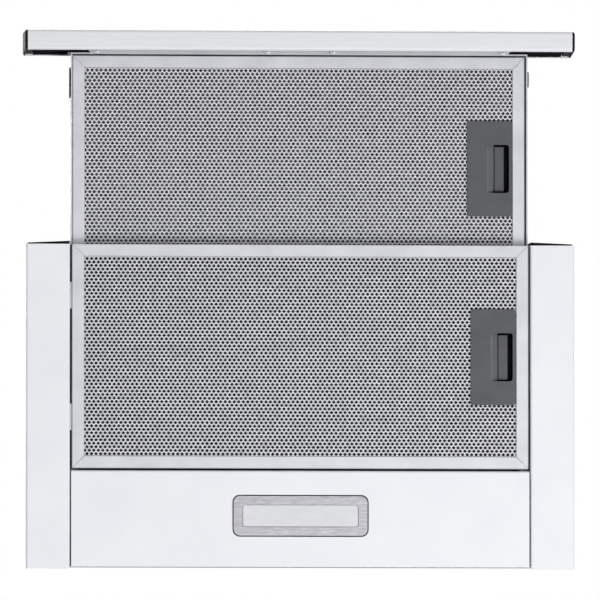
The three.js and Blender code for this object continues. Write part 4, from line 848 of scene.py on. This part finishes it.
def placeScrews():
    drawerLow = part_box("drawer_shell")[0]
    barY, barSeat = drawerLow.y + screw["barBehindWall"], drawerLow.z - screw["barSink"]
    caseLow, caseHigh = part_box("upper_case")
    flangeSeat = caseLow.z + screw["flangeTop"]
    topSeat = caseHigh.z - topBead
    places = [("bar_screw", "drawer", x * mm, barY, barSeat, False) for x in screw["barPlaces"]]
    places += [("flange_screw", "housing", x * mm, y * mm, flangeSeat, True)
               for x, y in screw["flangePlaces"]]
    for side in ("left", "right"):
        low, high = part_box("motor_" + side)
        motorX, motorY = (low.x + high.x) / 2, (low.y + high.y) / 2
        for angle in screw["motorAngles"]:
            turn = math.radians(angle if side == "right" else 180 - angle)
            places.append(("motor_screw", "housing", motorX + screw["motorCircle"] * math.cos(turn),
                           motorY + screw["motorCircle"] * math.sin(turn), topSeat, True))
    pattern = makeScrew()
    for i, (name, body, x, y, z, headUp) in enumerate(places):
        piece = copyOf(pattern, "screw")
        piece.location = (x, y, z)
        turn = math.radians(screw["firstTurn"] + screw["nextTurn"] * i)
        piece.rotation_euler = (math.pi if headUp else 0, 0, turn)
        finishPiece(piece, f"{name}_{i + 1}", zincPlate, body)
    bpy.data.objects.remove(pattern)
    print(len(places), "screws placed")


topBead = 0.8 * mm  # the pressed beads stand this far over the upper case's top
placeScrews()


# The duct collar on top, with the ledge that stops its two flaps and the bosses that hold their pin.
collar = {
    "sides": 96,
    "flange": 13 * mm,
    "flangeSheet": 1.5 * mm,
    "flangeLift": 0.3 * mm,  # over the case's top
    "wall": 1.8 * mm,
    "spigotPlay": 0.3 * mm,  # of the lower pipe within the case's hole
    "ledge": 2.6 * mm,  # the flaps' stop
    "ledgeUnderPin": 0.9 * mm,  # below the pin's middle
    "ledgeHeight": 1.0 * mm,
    "bossSides": 32,
    "bossRadius": 3.2 * mm,
    "bossLength": 4.3 * mm,
    "bossRoot": 0.5 * mm,  # of a boss into the wall
    "pinPlay": 0.3 * mm,
    "pinClear": 0.1 * mm,  # past the pin's ends
    "edge": 0.4 * mm,
}


# One step of a turned form: the selected faces go inwards, then up or down.
def insetAndExtrude(thickness, rise):
    bpy.ops.mesh.inset(thickness=thickness)
    bpy.ops.mesh.extrude_region_move(TRANSFORM_OT_translate={"value": (0, 0, rise)})


# A short round bar along y, for a boss or its bore.
def barAlongY(radius, x, y0, y1, z):
    bpy.ops.mesh.primitive_cylinder_add(vertices=collar["bossSides"], radius=radius, depth=y1 - y0,
                                        location=(x, (y0 + y1) / 2, z), rotation=(math.pi / 2, 0, 0))
    return bpy.context.active_object


# The collar is drawn up and down from its flange, and the pipe's two open ends are bridged inside.
def makeCollar():
    low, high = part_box("outlet_collar")
    pinLow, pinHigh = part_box("flap_pin")
    x, y, radius = 0.0, (low.y + high.y) / 2, (high.y - low.y) / 2
    pinZ, pinRadius = (pinLow.z + pinHigh.z) / 2, (pinHigh.z - pinLow.z) / 2
    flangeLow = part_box("upper_case")[1].z - topBead + collar["flangeLift"]
    flangeHigh = flangeLow + collar["flangeSheet"]
    inner = radius - collar["flange"] - collar["wall"]
    ledgeTop = pinZ - collar["ledgeUnderPin"]
    bpy.ops.mesh.primitive_cylinder_add(vertices=collar["sides"], radius=radius, depth=collar["flangeSheet"],
                                        location=(x, y, (flangeLow + flangeHigh) / 2))
    piece = bpy.context.active_object
    activate(piece)
    bpy.ops.object.transform_apply(location=True, rotation=True, scale=True)
    bpy.ops.object.mode_set(mode="EDIT")
    pickFaces(piece, lambda centre, normal: normal.z > 0.9)
    insetAndExtrude(collar["flange"], high.z - flangeHigh)
    insetAndExtrude(collar["wall"], ledgeTop - high.z)
    insetAndExtrude(collar["ledge"], -collar["ledgeHeight"])
    bpy.ops.mesh.delete(type="FACE")
    pickFaces(piece, lambda centre, normal: normal.z < -0.9 and centre.z < flangeLow + 0.01 * mm)
    insetAndExtrude(radius - inner + collar["spigotPlay"], low.z - flangeLow)
    bpy.ops.mesh.inset(thickness=collar["wall"])
    bpy.ops.mesh.delete(type="FACE")
    bpy.ops.mesh.select_mode(type="EDGE")
    bpy.ops.mesh.select_all(action="DESELECT")
    bpy.ops.mesh.select_non_manifold()
    bpy.ops.mesh.bridge_edge_loops()
    bpy.ops.mesh.select_all(action="SELECT")
    bpy.ops.mesh.normals_make_consistent(inside=False)
    bpy.ops.object.mode_set(mode="OBJECT")
    for end in (-1, 1):
        near, far = sorted((y + end * (inner - collar["bossLength"]), y + end * (inner + collar["bossRoot"])))
        boss = barAlongY(collar["bossRadius"], x, near, far, pinZ)
        useUp(piece, "UNION", boss)
    bore = barAlongY(pinRadius + collar["pinPlay"], x, pinLow.y - collar["pinClear"],
                     pinHigh.y + collar["pinClear"], pinZ)
    useUp(piece, "DIFFERENCE", bore)
    piece.name = "duct_collar"
    finishCopy(piece, "outlet_collar", collar["edge"])


# The cable gland on top, with no cable in it.
gland = {
    "sides": 48,
    "rimRadius": 11 * mm,
    "rimHeight": 2.5 * mm,
    "crownRadius": 7 * mm,
    "crownHeight": 2.5 * mm,
    "boreRadius": 4 * mm,
    "neckRadius": 7.5 * mm,
    "neckLength": 1.8 * mm,
    "nutRadius": 10 * mm,  # to its six corners
    "grooves": 16,
    "grooveWidth": 0.9 * mm,
    "crownSteps": (0.25, 0.35, 0.4),  # shares of the crown's height, from the rim inwards
    "overlap": 1 * mm,  # of the parts that are joined, and of the bore past both ends
    "edge": 0.15 * mm,
}


# An upright bar with a number of sides between two heights.
def uprightBar(sides, radius, x, y, low, high):
    bpy.ops.mesh.primitive_cylinder_add(vertices=sides, radius=radius, depth=high - low,
                                        location=(x, y, (low + high) / 2))
    piece = bpy.context.active_object
    activate(piece)
    bpy.ops.object.transform_apply(location=True, rotation=True, scale=True)
    return piece


# The gland: a ribbed rim and a crown over the case's top, a neck through it and a nut below.
def makeGland():
    low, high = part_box("cable_gland")
    x, y = (low.x + high.x) / 2, (low.y + high.y) / 2
    foot = high.z - gland["rimHeight"] - gland["crownHeight"]
    piece = uprightBar(gland["sides"], gland["rimRadius"], x, y, foot, foot + gland["rimHeight"])
    bpy.ops.object.mode_set(mode="EDIT")
    pickFaces(piece, lambda centre, normal: normal.z > 0.9)
    step = (gland["rimRadius"] - gland["crownRadius"]) / len(gland["crownSteps"])
    for share in gland["crownSteps"]:
        insetAndExtrude(step, gland["crownHeight"] * share)
    bpy.ops.object.mode_set(mode="OBJECT")
    for i in range(gland["grooves"]):
        turn = 2 * math.pi * i / gland["grooves"]
        spot = (x + gland["rimRadius"] * math.cos(turn), y + gland["rimRadius"] * math.sin(turn),
                foot + gland["rimHeight"] / 2)
        bpy.ops.mesh.primitive_cube_add(size=1, location=spot, rotation=(0, 0, turn))
        blade = bpy.context.active_object
        blade.scale = (gland["grooveWidth"], gland["grooveWidth"], 2 * gland["rimHeight"])
        useUp(piece, "DIFFERENCE", blade)
    overlap = gland["overlap"]
    neck = uprightBar(gland["sides"], gland["neckRadius"], x, y, low.z + overlap, foot + overlap)
    useUp(piece, "UNION", neck)
    useUp(piece, "UNION", uprightBar(6, gland["nutRadius"], x, y, low.z, foot - gland["neckLength"]))
    bore = uprightBar(gland["sides"], gland["boreRadius"], x, y, low.z - overlap, high.z + overlap)
    useUp(piece, "DIFFERENCE", bore)
    piece.name = "gland_cap"
    finishCopy(piece, "cable_gland", gland["edge"])


makeCollar()
makeGland()
print("collar and gland made")

placeCamera()
makeStage()
deselectAll()
